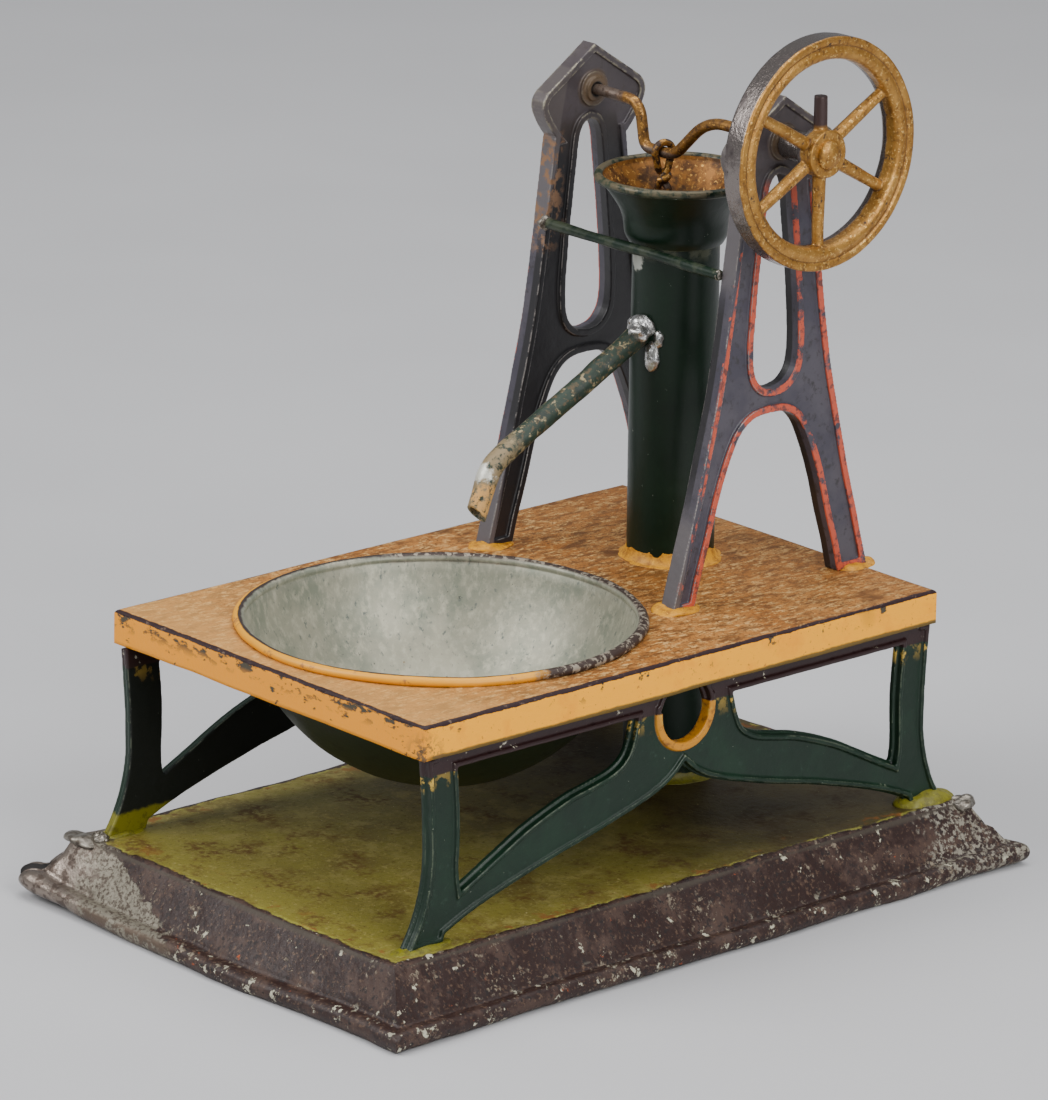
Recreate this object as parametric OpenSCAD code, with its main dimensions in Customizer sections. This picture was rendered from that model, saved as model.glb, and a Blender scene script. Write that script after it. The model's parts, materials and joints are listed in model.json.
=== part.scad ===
// Toy water pump with a sheet-metal tray, a basin table, two cast side frames,
// a crank with a flywheel and a lift pump in an upright barrel.
// Origin: centre of the tray's footprint, on the surface it stands on.
// +Z is up, -Y is the basin end, +Y is the pump end, +X is the flywheel side.

/* [Tray] */
// Length of the tray over its wired edge
tray_len = 138.9; // [134:0.1:146]
// Width of the tray over its wired edge
tray_w = 96.2; // [94:0.1:104]
// Height of the tray's flat top
tray_h = 10.9; // [9:0.1:13]
// Length of the tray's flat top
tray_top_len = 125.3; // [122:0.1:128]
// Width of the tray's flat top
tray_top_w = 79.9; // [79:0.1:84]
// Radius of the curled edge
curl_r = 1.7; // [1.5:0.1:2]
// Radius of the wire inside the curl
edge_wire_r = 1.1; // [0.9:0.1:1.2]
// Thickness of the tin sheet
sheet_t = 0.5; // [0.4:0.1:0.7]

/* [Table] */
// Length of the table
table_len = 112; // [111:0.5:116]
// Width of the table
table_w = 77.6; // [77:0.1:82]
// Height of the table's top face
table_z = 48.8; // [47:0.1:52]
// Depth of the table's skirt
skirt_h = 5.8; // [4:0.1:7]

/* [Basin] */
// Radius of the bowl's sphere
bowl_r = 33.45; // [33.3:0.05:33.6]
// Distance of the basin's axis from the middle, towards the front
basin_y = 19; // [18:0.5:19.5]
// Height of the bowl's lowest point
bowl_floor = 22.3; // [22:0.1:23.5]
// Radius of the rolled rim's section
basin_rim_r = 0.95; // [0.9:0.05:1.1]

/* [Legs] */
// Thickness of a cast leg frame
leg_t = 2.2; // [2:0.1:2.6]
// Distance from the middle to a leg frame's outer face
leg_x = 37.4; // [37:0.1:37.8]
// Shift of the flywheel-side leg frame towards the pump
leg_shift_right = 1.3; // [0:0.1:2]
// Shift of the other leg frame towards the basin
leg_shift_left = 1.1; // [0:0.1:2]

/* [Side frames] */
// Thickness of a cast side frame
frame_t = 3.2; // [3:0.1:3.6]
// Clear width between the two side frames
frame_gap = 43; // [42:0.5:44]
// Width of the raised rim on the castings
rim_w = 1.2; // [1:0.1:1.4]
// Depth of the sunk panels
panel_depth = 0.55; // [0.4:0.05:0.7]

/* [Pump] */
// Position of the pump's axis across the table
pump_x = -3.6; // [-4:0.1:-3]
// Position of the pump's axis along the table
pump_y = 34.9; // [34.5:0.1:35.5]
// Outer radius of the barrel
barrel_r = 7.35; // [7.2:0.05:7.5]
// Radius of the barrel's bore
bore_r = 6.75; // [6.6:0.05:6.8]
// Height of the joint between barrel and funnel
funnel_z = 103.5; // [103:0.1:104]
// Outer radius of the spout tube
spout_r = 1.85; // [1.7:0.05:2]
// Radius of the spout's bore
spout_bore_r = 1.35; // [1.1:0.05:1.5]

/* [Crank and flywheel] */
// Position of the shaft along the table
shaft_y = 35.7; // [35:0.1:36]
// Height of the shaft
shaft_z = 124.9; // [124.5:0.1:126]
// Radius of the shaft wire
shaft_r = 0.95; // [0.9:0.05:1]
// Radial clearance of the shaft in its bearings
bearing_gap = 0.05; // [0.03:0.01:0.1]
// Throw of the crank
throw = 7.5; // [7:0.1:7.8]
// Distance from the crank pin to the lower eye of the connecting rod
rod_len = 6.5; // [6.3:0.1:7]
// Radius of the connecting rod's wire
rod_r = 0.65; // [0.6:0.05:0.7]
// Outer radius of the flywheel
wheel_r = 19.4; // [19:0.1:21]
// Radial width of the flywheel's rim
wheel_rim_w = 3.9; // [3.5:0.1:4.2]
// Axial width of the flywheel's rim
wheel_rim_t = 4.3; // [4:0.1:4.6]
// Number of spokes, of which the upright one is broken off short
spokes = 6; // [5:1:8]
// Length of the broken spoke from the shaft's axis
stub_len = 9.4; // [8:0.1:12]

/* [Hidden] */
$fn = 64;

// tray
slope_z = curl_r - 0.1;
slope_x = tray_w / 2 - curl_r;
slope_y = tray_len / 2 - curl_r;
tray_top_x = tray_top_w / 2;
tray_top_y = tray_top_len / 2;

// table and basin
table_x = table_w / 2;
table_y = table_len / 2;
table_under = table_z - sheet_t;
skirt_z = table_z - skirt_h;
bowl_z = bowl_floor + bowl_r;
bowl_in_r = bowl_r - 0.6;
table_hole_r = sqrt(bowl_r * bowl_r - pow(bowl_z - table_z, 2)) + 0.1;
rim_r = table_hole_r + 0.2;
rim_z = table_z + 0.8;

// leg frames
leg_draft = 0.45;
leg_rim_w = 0.8;
leg_back_t = 0.9;
leg_foot_y = 55.5;
rail_z = table_z - 9.2;
u_r = 5.1;
u_z = rail_z - 0.9;
u_collar_w = 1.4;

// side frames
frame_in = frame_gap / 2;
boss_r = 3;
boss_t = 0.5;
head_z = 132.6;
head_shift = shaft_y - pump_y;
frame_foot_y = 19.4;
tie_y = pump_y - 10;
tie_z = 103.6;

// pump
port_z = 88.8;
spout_in = [pump_y - barrel_r + 1.2, port_z + 0.6];
spout_bend = [-5.4, 72.1];
spout_end = [-8.6, 64.2];
piston_z = 66;
piston_h = 4;
piston_r = bore_r - 0.05;
packing_h = 1.5;
flap_h = 0.5;
stem_top = 91.5;
seat_z = 52;
seat_h = 2;
seat_hole_r = 2.2;

// crank and flywheel
hub_back = pump_x + frame_in + frame_t + 1;
hub_face = 31.4;
wheel_back = hub_face - wheel_rim_t;
hub_r = 3.95;
crank_x = [-10.4, -9, -1.6, 6.2];
rod_x = -4.3;
pin_z = shaft_z - throw;
eye_r = shaft_r + 0.1 + rod_r;
low_eye_r = 1.3;

// ---- curves ----

// Point of a Catmull-Rom curve between b and c
function between(a, b, c, d, t) = 0.5 * (2 * b + (c - a) * t
    + (2 * a - 5 * b + 4 * c - d) * t * t + (3 * b - a - 3 * c + d) * t * t * t);

// Smooth open curve through the points p, with n steps between two points
function smooth(p, n = 4) = concat(
    [for (i = [0:len(p) - 2], k = [0:n - 1])
        between(p[max(i - 1, 0)], p[i], p[i + 1], p[min(i + 2, len(p) - 1)], k / n)],
    [p[len(p) - 1]]);

// Points on an arc about c from angle a to angle b
function arc(c, r, a, b, n = 8) =
    [for (i = [0:n]) c + r * [cos(a + (b - a) * i / n), sin(a + (b - a) * i / n)]];

// A half outline and its mirror image, as one closed outline
function both(p) = concat(p, [for (i = [len(p) - 1:-1:0]) [-p[i][0], p[i][1]]]);

// ---- helpers ----

// Extrudes a shape drawn in Y and Z along +X, from x
module upright(x, y, t) {
    translate([x, y, 0])
        rotate([90, 0, 90])
            linear_extrude(t)
                children();
}

// Round bar from a to b
module bar(a, b, r) {
    d = b - a;
    translate(a)
        rotate([0, acos(d[2] / norm(d)), atan2(d[1], d[0])])
            cylinder(h = norm(d), r = r);
}

// Round bar along a chain of points, with a fuller ball at each corner; gap is
// how far the bars stop short of a corner
module wire(p, r, ball, gap = 0) {
    for (i = [0:len(p) - 2]) {
        step = (p[i + 1] - p[i]) / norm(p[i + 1] - p[i]);
        bar(p[i] + (i == 0 ? 0 : gap) * step,
            p[i + 1] - (i == len(p) - 2 ? 0 : gap) * step, r);
    }
    for (i = [1:len(p) - 2])
        translate(p[i])
            sphere(ball);
}

// Closed rectangular loop of round bar about the tray
module loop(r) {
    x = slope_x;
    y = slope_y;
    for (s = [-1, 1]) {
        bar([s * x, -y, slope_z], [s * x, y, slope_z], r);
        bar([-x, s * y, slope_z], [x, s * y, slope_z], r);
        for (q = [-1, 1])
            translate([s * x, q * y, slope_z])
                sphere(r);
    }
}

// Block with four sloping sides, half sizes xa, ya at height za and xb, yb at zb
module sloped(xa, ya, za, xb, yb, zb) {
    intersection() {
        upright(-xa - 1, 0, 2 * xa + 2)
            polygon([[-ya, za], [ya, za], [yb, zb], [-yb, zb]]);
        translate([0, ya + 1, 0])
            rotate([90, 0, 0])
                linear_extrude(2 * ya + 2)
                    polygon([[-xa, za], [xa, za], [xb, zb], [-xb, zb]]);
    }
}

// Low round lump of solder on a flat face
module mound(r, h) {
    rotate_extrude()
        polygon(concat([[0, 0]], [for (i = [0:6]) [r * cos(15 * i), h * sin(15 * i)]]));
}

// Ring of wire in the plane across X, about the origin
module eye(ring_r, r) {
    rotate([0, 90, 0])
        rotate_extrude()
            translate([ring_r, 0])
                circle(r, $fn = 24);
}

// ---- tray ----

module base_tray() {
    slope = 1.3 * sheet_t;
    color([0.42, 0.40, 0.14])
        difference() {
            union() {
                sloped(slope_x, slope_y, slope_z, tray_top_x, tray_top_y, tray_h);
                loop(curl_r);
            }
            sloped(slope_x - slope + 1, slope_y - slope + 0.8, slope_z - 1.4,
                tray_top_x - slope + 0.3, tray_top_y - slope + 0.3, tray_h - sheet_t);
            translate([-slope_x + slope, -slope_y + slope, -1])
                cube([2 * (slope_x - slope), 2 * (slope_y - slope), 1 + slope_z]);
            loop(edge_wire_r);
            translate([-tray_w, -tray_len, -5])
                cube([2 * tray_w, 2 * tray_len, 5]);
        }
}

module base_edge_wire() {
    color([0.45, 0.43, 0.4])
        loop(edge_wire_r);
}

// Solder over two opposite mitred corners of the tray, just below its top
module corner_solder() {
    lump_r = 2.6;
    color([0.75, 0.75, 0.72])
        for (s = [-1, 1])
            difference() {
                translate([s * (tray_top_x - 0.1), s * (tray_top_y - 0.3), tray_h - 1.8])
                    sphere(lump_r, $fn = 32);
                sloped(slope_x, slope_y, slope_z, tray_top_x, tray_top_y, tray_h);
                translate([-tray_w, -tray_len, tray_h + 0.4])
                    cube([2 * tray_w, 2 * tray_len, 5]);
            }
}

// ---- leg frames ----

leg_outer = smooth([[55.1, rail_z], [54.6, 31], [54.7, 23], [56.6, 16], [59.4, tray_h]]);
leg_under = smooth([[50.8, 12.4], [44, 15.2], [30, 19.3], [18, 22.2], [7.2, 25.4],
    [2.6, 27.6], [0, 29.8]]);
leg_inner = smooth([[48.4, rail_z], [47.8, 31], [48, 23], [47.6, 19.6]]);
arm_top = smooth([[47.6, 19.6], [43, 21.9], [34, 26.5], [26, 29.5], [20, 30.9],
    [16, 31.9], [13.2, 33.6], [11.8, 36.2], [10.9, rail_z]]);

// Outline of a leg frame: two legs, two arms and the rail that joins them
module leg_outline() {
    difference() {
        polygon(both(concat([[53.9, table_under], [53.9, skirt_z - 0.1], [55.4, skirt_z - 0.1]],
            leg_outer, [[51.3, tray_h]], leg_under)));
        for (s = [-1, 1])
            scale([s, 1])
                polygon(concat(leg_inner, arm_top));
        translate([0, u_z])
            circle(u_r, $fn = 40);
        translate([-u_r, u_z])
            square([2 * u_r, rail_z - u_z]);
    }
}

// Raised collar round the U of the arms
module u_collar() {
    r = u_r + u_collar_w;
    intersection() {
        leg_outline();
        translate([-r, u_z - r])
            square([2 * r, r + rail_z - u_z]);
        union() {
            translate([0, u_z])
                circle(r, $fn = 40);
            translate([-r, u_z])
                square([2 * r, rail_z - u_z]);
        }
    }
}

// Leg frame with its flat back at x = 0 and its rimmed face at x = leg_t
module leg_frame() {
    upright(0, 0, leg_back_t)
        leg_outline();
    upright(0, 0, leg_t - panel_depth)
        offset(delta = -leg_draft)
            leg_outline();
    upright(0, 0, leg_t)
        difference() {
            offset(delta = -leg_draft)
                leg_outline();
            offset(delta = -leg_draft - leg_rim_w)
                leg_outline();
        }
    upright(0, 0, leg_t)
        u_collar();
}

module leg_frame_right() {
    color([0.06, 0.16, 0.11])
        translate([leg_x - leg_t, leg_shift_right, 0])
            leg_frame();
}

module leg_frame_left() {
    color([0.06, 0.16, 0.11])
        translate([-leg_x + leg_t, -leg_shift_left, 0])
            mirror([1, 0, 0])
                leg_frame();
}

module leg_foot_solder() {
    shift = [-leg_shift_left, leg_shift_right];
    color([0.45, 0.5, 0.12])
        for (i = [0, 1], s = [-1, 1])
            translate([(2 * i - 1) * (leg_x - leg_t / 2), shift[i] + s * leg_foot_y, tray_h])
                mound(3.6, 1.4);
}

// ---- table and basin ----

module table_top() {
    color([0.72, 0.46, 0.16])
        difference() {
            translate([-table_x, -table_y, skirt_z])
                cube([table_w, table_len, skirt_h]);
            translate([-table_x + sheet_t, -table_y + sheet_t, skirt_z - 1])
                cube([table_w - 2 * sheet_t, table_len - 2 * sheet_t, skirt_h + 1 - sheet_t]);
            translate([0, -basin_y, table_z - 5])
                cylinder(h = 10, r = table_hole_r, $fn = 128);
            translate([pump_x, pump_y, table_z - 5])
                cylinder(h = 10, r = barrel_r + 0.15);
        }
}

module basin() {
    color([0.5, 0.53, 0.48])
        translate([0, -basin_y, 0]) {
            difference() {
                translate([0, 0, bowl_z])
                    sphere(bowl_r, $fn = 128);
                translate([0, 0, bowl_z])
                    sphere(bowl_in_r, $fn = 128);
                translate([0, 0, rim_z])
                    cylinder(h = 2 * bowl_r, r = bowl_r + 1);
            }
            intersection() {
                rotate_extrude($fn = 128)
                    translate([rim_r, rim_z])
                        circle(basin_rim_r, $fn = 32);
                translate([0, 0, table_z])
                    cylinder(h = 5, r = bowl_r + 5);
            }
        }
}

// ---- pump ----

module pump_barrel() {
    color([0.05, 0.2, 0.12])
        difference() {
            translate([pump_x, pump_y, tray_h])
                cylinder(h = funnel_z - tray_h, r = barrel_r);
            translate([pump_x, pump_y, tray_h - 1])
                cylinder(h = funnel_z, r = bore_r);
            bar(spout_point(spout_in), spout_point(spout_bend), spout_r);
        }
}

module barrel_foot_solder() {
    color([0.45, 0.5, 0.12])
        difference() {
            translate([pump_x, pump_y, tray_h])
                mound(barrel_r + 2.2, 2.4);
            translate([pump_x, pump_y, 0])
                cylinder(h = 50, r = barrel_r);
        }
}

module barrel_collar_solder() {
    color([0.72, 0.46, 0.1])
        difference() {
            translate([pump_x, pump_y, table_z])
                mound(barrel_r + 1.6, 2.2);
            translate([pump_x, pump_y, table_z - 1])
                cylinder(h = 20, r = barrel_r);
        }
}

module pump_funnel() {
    wall = 0.65;
    out = smooth([[8, 0], [8.65, 1.3], [8.9, 3], [9.2, 4.5], [10, 6.3], [11.4, 8.5],
        [12.9, 10.6]], 3);
    inside = [for (p = out) [max(p[0] - wall, bore_r), p[1]]];
    color([0.06, 0.22, 0.14])
        translate([pump_x, pump_y, funnel_z])
            rotate_extrude() {
                polygon(concat(out, [for (i = [len(inside) - 1:-1:0]) inside[i]]));
                translate([13, 10.9])
                    circle(0.75, $fn = 24);
            }
}

function spout_point(p) = [pump_x, p[0], p[1]];

// Spout tube of radius r, with its ends moved out by extra
module spout_run(r, extra) {
    back = spout_point(spout_in) - spout_point(spout_bend);
    down = spout_point(spout_end) - spout_point(spout_bend);
    wire([spout_point(spout_in) + extra * back / norm(back), spout_point(spout_bend),
        spout_point(spout_end) + extra * down / norm(down)], r, 1.05 * r);
}

module spout() {
    color([0.12, 0.25, 0.17])
        difference() {
            spout_run(spout_r, 0);
            spout_run(spout_bore_r, 1);
        }
}

// Solder collar round the spout, and a spare drop beside it on the barrel
module spout_solder() {
    front = pump_y - barrel_r;
    slope = atan2(spout_in[1] - spout_bend[1], spout_in[0] - spout_bend[0]);
    collar_h = 4;
    color([0.8, 0.8, 0.78])
        difference() {
            union() {
                translate([pump_x, front + 1, port_z + 0.5])
                    rotate([90 + slope, 0, 0])
                        cylinder(h = collar_h, r1 = spout_r + 1.2, r2 = spout_r + 0.25);
                translate([pump_x + 3.4, front + 0.9, port_z - 4.6])
                    sphere(1.6, $fn = 32);
            }
            translate([pump_x, pump_y, 50])
                cylinder(h = 60, r = barrel_r);
            bar(spout_point(spout_in), spout_point(spout_bend), spout_r);
        }
}

// ---- side frames ----

frame_outer = smooth([[22, table_z], [19.5, 58], [17.2, 66], [14.5, 77], [12.4, 86],
    [10.4, 98.5], [9, 109], [7.9, 117.6]]);
frame_head = smooth([[7.5, 116.6], [9.8, 119.4], [11.3, 122.2], [11.3, 124.2], [10.4, 125.6]], 3);
frame_slot = smooth([[0, 83.3], [2.6, 83.9], [4.5, 86], [5.1, 89.5], [4.9, 95], [4.1, 104],
    [3.1, 112], [2.5, 117], [1.5, 119.2], [0, 119.9]]);
frame_arch = smooth([[16.5, table_z - 1], [15.2, 53], [13.2, 59.5], [11.1, 67], [8.3, 74],
    [6.2, 77.3], [3.5, 79], [0, 79.4]]);

// Outline of a side frame: splayed legs, a cross piece and a gabled head; the
// arch between the legs is off centre by arch_shift
module frame_outline(arch_shift) {
    difference() {
        union() {
            polygon(both(frame_outer));
            translate([head_shift, 0])
                polygon(both(concat(frame_head, [[0, head_z]])));
        }
        polygon(both(frame_slot));
        translate([arch_shift, 0])
            polygon(both(frame_arch));
    }
}

// Side frame with its faces at x = 0 and x = frame_t
module a_frame(arch_shift) {
    difference() {
        union() {
            difference() {
                upright(0, 0, frame_t)
                    frame_outline(arch_shift);
                for (x = [-1, frame_t - panel_depth])
                    upright(x, 0, 1 + panel_depth)
                        offset(delta = -rim_w)
                            frame_outline(arch_shift);
            }
            translate([0, head_shift, shaft_z])
                rotate([0, 90, 0])
                    cylinder(h = frame_t, r = boss_r);
            translate([-boss_t, head_shift, shaft_z])
                rotate([0, 90, 0])
                    cylinder(h = frame_t + 2 * boss_t, r = boss_r - 0.9);
        }
        translate([-5, head_shift, shaft_z])
            rotate([0, 90, 0])
                cylinder(h = 15, r = shaft_r + bearing_gap);
    }
}

module a_frame_right() {
    color([0.13, 0.14, 0.17])
        translate([pump_x + frame_in, pump_y, 0])
            a_frame(-0.9);
}

module a_frame_left() {
    color([0.13, 0.14, 0.17])
        translate([pump_x - frame_in - frame_t, pump_y, 0])
            a_frame(0);
}

module a_frame_solder() {
    color([0.75, 0.48, 0.12])
        for (s = [-1, 1], q = [-1, 1])
            translate([pump_x + s * (frame_in + frame_t / 2), pump_y + q * frame_foot_y, table_z])
                mound(3.7, 1.3);
}

module tie_rod() {
    color([0.1, 0.17, 0.13])
        bar([pump_x - frame_in, tie_y, tie_z], [pump_x + frame_in, tie_y, tie_z], shaft_r);
}

module tie_rod_solder() {
    lump_r = 1.6;
    color([0.8, 0.8, 0.78])
        for (s = [-1, 1])
            difference() {
                translate([pump_x + s * frame_in, tie_y + 0.1, tie_z])
                    sphere(lump_r, $fn = 32);
                translate([pump_x + (s > 0 ? frame_in : -frame_in - 5), tie_y - 5, tie_z - 5])
                    cube([5, 20, 10]);
                bar([pump_x - 30, tie_y, tie_z], [pump_x + 30, tie_y, tie_z], shaft_r);
            }
}

// ---- crank, flywheel and connecting rod ----

function crank_point(x, z) = [pump_x + x, shaft_y, z];

module crankshaft() {
    left_end = -frame_in - frame_t - 1;
    color([0.5, 0.36, 0.14])
        wire([crank_point(left_end, shaft_z), crank_point(crank_x[0], shaft_z),
            crank_point(crank_x[1], pin_z), crank_point(crank_x[2], pin_z),
            crank_point(crank_x[3], shaft_z), [hub_face, shaft_y, shaft_z]],
            shaft_r, 1.3 * shaft_r, 0.7);
}

// Section of the rim: distance from the axis and distance from the back face
module rim_section() {
    inner = wheel_r - wheel_rim_w;
    polygon(concat([[wheel_r, 0.3], [wheel_r, wheel_rim_t - 0.2], [wheel_r - 0.2, wheel_rim_t],
        [wheel_r - 1.2, wheel_rim_t], [wheel_r - 1.4, wheel_rim_t - 0.4]],
        arc([inner + 1.25, wheel_rim_t - 1.2], 1.25, 55, 180),
        arc([inner + 1.25, 1.2], 1.25, 180, 270),
        [[wheel_r - 0.3, 0]]));
}

module flywheel() {
    rim_mid = wheel_rim_t / 2;
    spoke_in = 2.1;
    spoke_out = wheel_r - wheel_rim_w + 0.7;
    color([0.6, 0.44, 0.17])
        translate([0, shaft_y, shaft_z])
            rotate([0, 90, 0])
                difference() {
                    union() {
                        translate([0, 0, wheel_back])
                            rotate_extrude($fn = 128)
                                rim_section();
                        translate([0, 0, hub_back])
                            cylinder(h = hub_face - hub_back, r = 2.6);
                        translate([0, 0, hub_face - 3.4])
                            cylinder(h = 3.4, r = hub_r);
                        for (i = [0:spokes - 1])
                            rotate([0, 0, 180 + i * 360 / spokes])
                                translate([spoke_in, 0, wheel_back + rim_mid])
                                    rotate([0, 90, 0])
                                        cylinder(h = (i == 0 ? stub_len : spoke_out) - spoke_in,
                                            r1 = 1.2, r2 = i == 0 ? 1.1 : 0.95);
                    }
                    translate([0, 0, -5])
                        cylinder(h = 60, r = shaft_r);
                }
}

module shaft_end_solder() {
    dome_r = 2.45;
    color([0.62, 0.46, 0.18])
        translate([hub_face, shaft_y, shaft_z])
            rotate([0, 90, 0])
                mound(dome_r, 1.3);
}

module connecting_rod() {
    join_z = pin_z - 4.2;
    low_z = pin_z - rod_len;
    color([0.4, 0.3, 0.14])
        translate([pump_x + rod_x, shaft_y, 0]) {
            translate([0, 0, pin_z])
                eye(eye_r, rod_r);
            for (s = [-1, 1])
                bar([0, s * 1.25, pin_z - 1.15], [0, s * 0.25, join_z], rod_r - 0.05);
            bar([0, 0, join_z + 0.3], [0, 0, low_z + low_eye_r], rod_r);
            translate([0, 0, low_z])
                rotate([0, 0, 90])
                    eye(low_eye_r, rod_r);
        }
}

// ---- inside the barrel ----

module plunger_rod() {
    color([0.4, 0.3, 0.14])
        translate([pump_x, pump_y, 0]) {
            bar([0, 0, piston_z], [0, 0, stem_top - 2 * low_eye_r - rod_r], rod_r);
            translate([0, 0, stem_top - low_eye_r - rod_r])
                eye(low_eye_r, rod_r);
        }
}

module plunger_piston() {
    color([0.55, 0.45, 0.25])
        translate([pump_x, pump_y, piston_z])
            difference() {
                cylinder(h = piston_h, r = piston_r);
                translate([0, 0, -1])
                    cylinder(h = piston_h + 2, r = rod_r);
                for (i = [0:3])
                    rotate([0, 0, 90 * i])
                        translate([3.4, 0, -1])
                            cylinder(h = piston_h + 2, r = 0.9, $fn = 24);
            }
}

module plunger_packing() {
    color([0.35, 0.22, 0.12])
        translate([pump_x, pump_y, piston_z - packing_h])
            difference() {
                cylinder(h = packing_h, r = piston_r);
                translate([0, 0, -1])
                    cylinder(h = packing_h + 2, r = 4.9);
            }
}

module piston_flap() {
    color([0.35, 0.22, 0.12])
        translate([pump_x, pump_y, piston_z + piston_h])
            difference() {
                cylinder(h = flap_h, r = 5.2);
                translate([0, 0, -1])
                    cylinder(h = flap_h + 2, r = rod_r);
            }
}

module foot_valve_seat() {
    color([0.5, 0.5, 0.48])
        translate([pump_x, pump_y, seat_z])
            difference() {
                cylinder(h = seat_h, r = bore_r);
                translate([0, 0, -1])
                    cylinder(h = seat_h + 2, r = seat_hole_r);
            }
}

module foot_valve_disc() {
    color([0.35, 0.22, 0.12])
        translate([pump_x, pump_y, seat_z + seat_h + 0.02])
            cylinder(h = 0.8, r = 4.2);
}

base_tray();
base_edge_wire();
corner_solder();
leg_frame_left();
leg_frame_right();
leg_foot_solder();
table_top();
basin();
pump_barrel();
barrel_foot_solder();
barrel_collar_solder();
pump_funnel();
spout();
spout_solder();
a_frame_left();
a_frame_right();
a_frame_solder();
tie_rod();
tie_rod_solder();
crankshaft();
flywheel();
shaft_end_solder();
connecting_rod();
plunger_rod();
plunger_piston();
plunger_packing();
piston_flap();
foot_valve_seat();
foot_valve_disc();
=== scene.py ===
"""Toy water pump with a basin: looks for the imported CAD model."""

import json
import math

import bmesh
import bpy
from mathutils import Matrix, Vector, noise


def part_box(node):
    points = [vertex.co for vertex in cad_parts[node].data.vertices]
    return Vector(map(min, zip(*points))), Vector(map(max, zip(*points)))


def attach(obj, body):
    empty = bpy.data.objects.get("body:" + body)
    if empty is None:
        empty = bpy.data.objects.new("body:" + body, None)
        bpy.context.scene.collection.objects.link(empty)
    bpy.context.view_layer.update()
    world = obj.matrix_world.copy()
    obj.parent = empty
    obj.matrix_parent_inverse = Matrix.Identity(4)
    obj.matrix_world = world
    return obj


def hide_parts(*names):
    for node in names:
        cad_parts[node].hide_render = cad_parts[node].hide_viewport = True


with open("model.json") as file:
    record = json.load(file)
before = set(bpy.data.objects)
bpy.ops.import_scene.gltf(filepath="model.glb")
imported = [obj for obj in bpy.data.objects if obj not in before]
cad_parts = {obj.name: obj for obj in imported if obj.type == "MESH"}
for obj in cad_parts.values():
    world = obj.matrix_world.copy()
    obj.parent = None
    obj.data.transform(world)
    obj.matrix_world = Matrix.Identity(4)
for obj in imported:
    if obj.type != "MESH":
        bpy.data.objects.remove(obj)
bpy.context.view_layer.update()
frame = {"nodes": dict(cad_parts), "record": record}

MM = 0.001
UP = Vector((0, 0, 1))


def cad(node):
    """Lowest and highest corner of a CAD node, in millimetres."""
    low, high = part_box(node)
    return low / MM, high / MM


# ---- sizes in millimetres, from the frame ----

tray_lo, tray_hi = cad("base_tray")
table_lo, table_hi = cad("table_top")
basin_lo, basin_hi = cad("basin")
barrel_lo, barrel_hi = cad("pump_barrel")
funnel_lo, funnel_hi = cad("pump_funnel")
spout_lo, spout_hi = cad("spout")
wheel_lo, wheel_hi = cad("flywheel")
right_lo, right_hi = cad("a_frame_right")
left_lo, left_hi = cad("a_frame_left")
rod_lo, rod_hi = cad("connecting_rod")
tie_lo, tie_hi = cad("tie_rod")
leg_lo, leg_hi = cad("leg_frame_right")

TRAY_Z = tray_hi.z
TRAY_TOP = Vector((39.95, 62.65))
CURL_R = 1.7
WIRE_R = 1.1
SHEET = 0.5
FILLET_SKIN = 0.15
CURL = Vector((tray_hi.x - CURL_R, tray_hi.y - CURL_R, CURL_R - 0.1))

TABLE_Z = table_hi.z
RAIL_Z = TABLE_Z - 9.2
U_Z = RAIL_Z - 0.9
U_R = 5.1
LEG_SHIFT_RIGHT = 1.3
LEG_SHIFT_LEFT = -1.1
LEG_FOOT_Y = 55.5
FRAME_FOOT_Y = 20.0

BASIN = (basin_lo + basin_hi) / 2
BOWL_R = 33.45
BOWL_Z = basin_lo.z + BOWL_R
RIM_ROLL = 0.95
RIM_R = (basin_hi.x - basin_lo.x) / 2 - RIM_ROLL
RIM_Z = TABLE_Z + 0.8

PUMP = (barrel_lo + barrel_hi) / 2
BARREL_R = (barrel_hi.x - barrel_lo.x) / 2
BORE_R = BARREL_R - 0.6
FUNNEL_Z = funnel_lo.z
PORT_Z = 88.8
SPOUT_R = 1.85
SPOUT_BEND = Vector((PUMP.x, -5.4, 72.1))

SHAFT_Y = (wheel_lo.y + wheel_hi.y) / 2
SHAFT_Z = (wheel_lo.z + wheel_hi.z) / 2
SHAFT_R = 0.95
BOSS_T = 0.5
RIGHT_FACE = right_hi.x - BOSS_T
LEFT_FACE = left_lo.x + BOSS_T
THROW = 7.5
PIN_Z = SHAFT_Z - THROW
WHEEL_R = (wheel_hi.z - wheel_lo.z) / 2
HUB_FACE = wheel_hi.x
ROD_X = (rod_lo.x + rod_hi.x) / 2
ROD_R = 0.62
ROD_LOW_Z = rod_lo.z + 1.95


# ---- node materials ----

def tint(red, green, blue):
    """Linear colour from a 0 to 255 display colour."""
    def linear(value):
        value /= 255
        return value / 12.92 if value <= 0.04045 else ((value + 0.055) / 1.055) ** 2.4
    return (linear(red), linear(green), linear(blue), 1.0)


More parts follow.
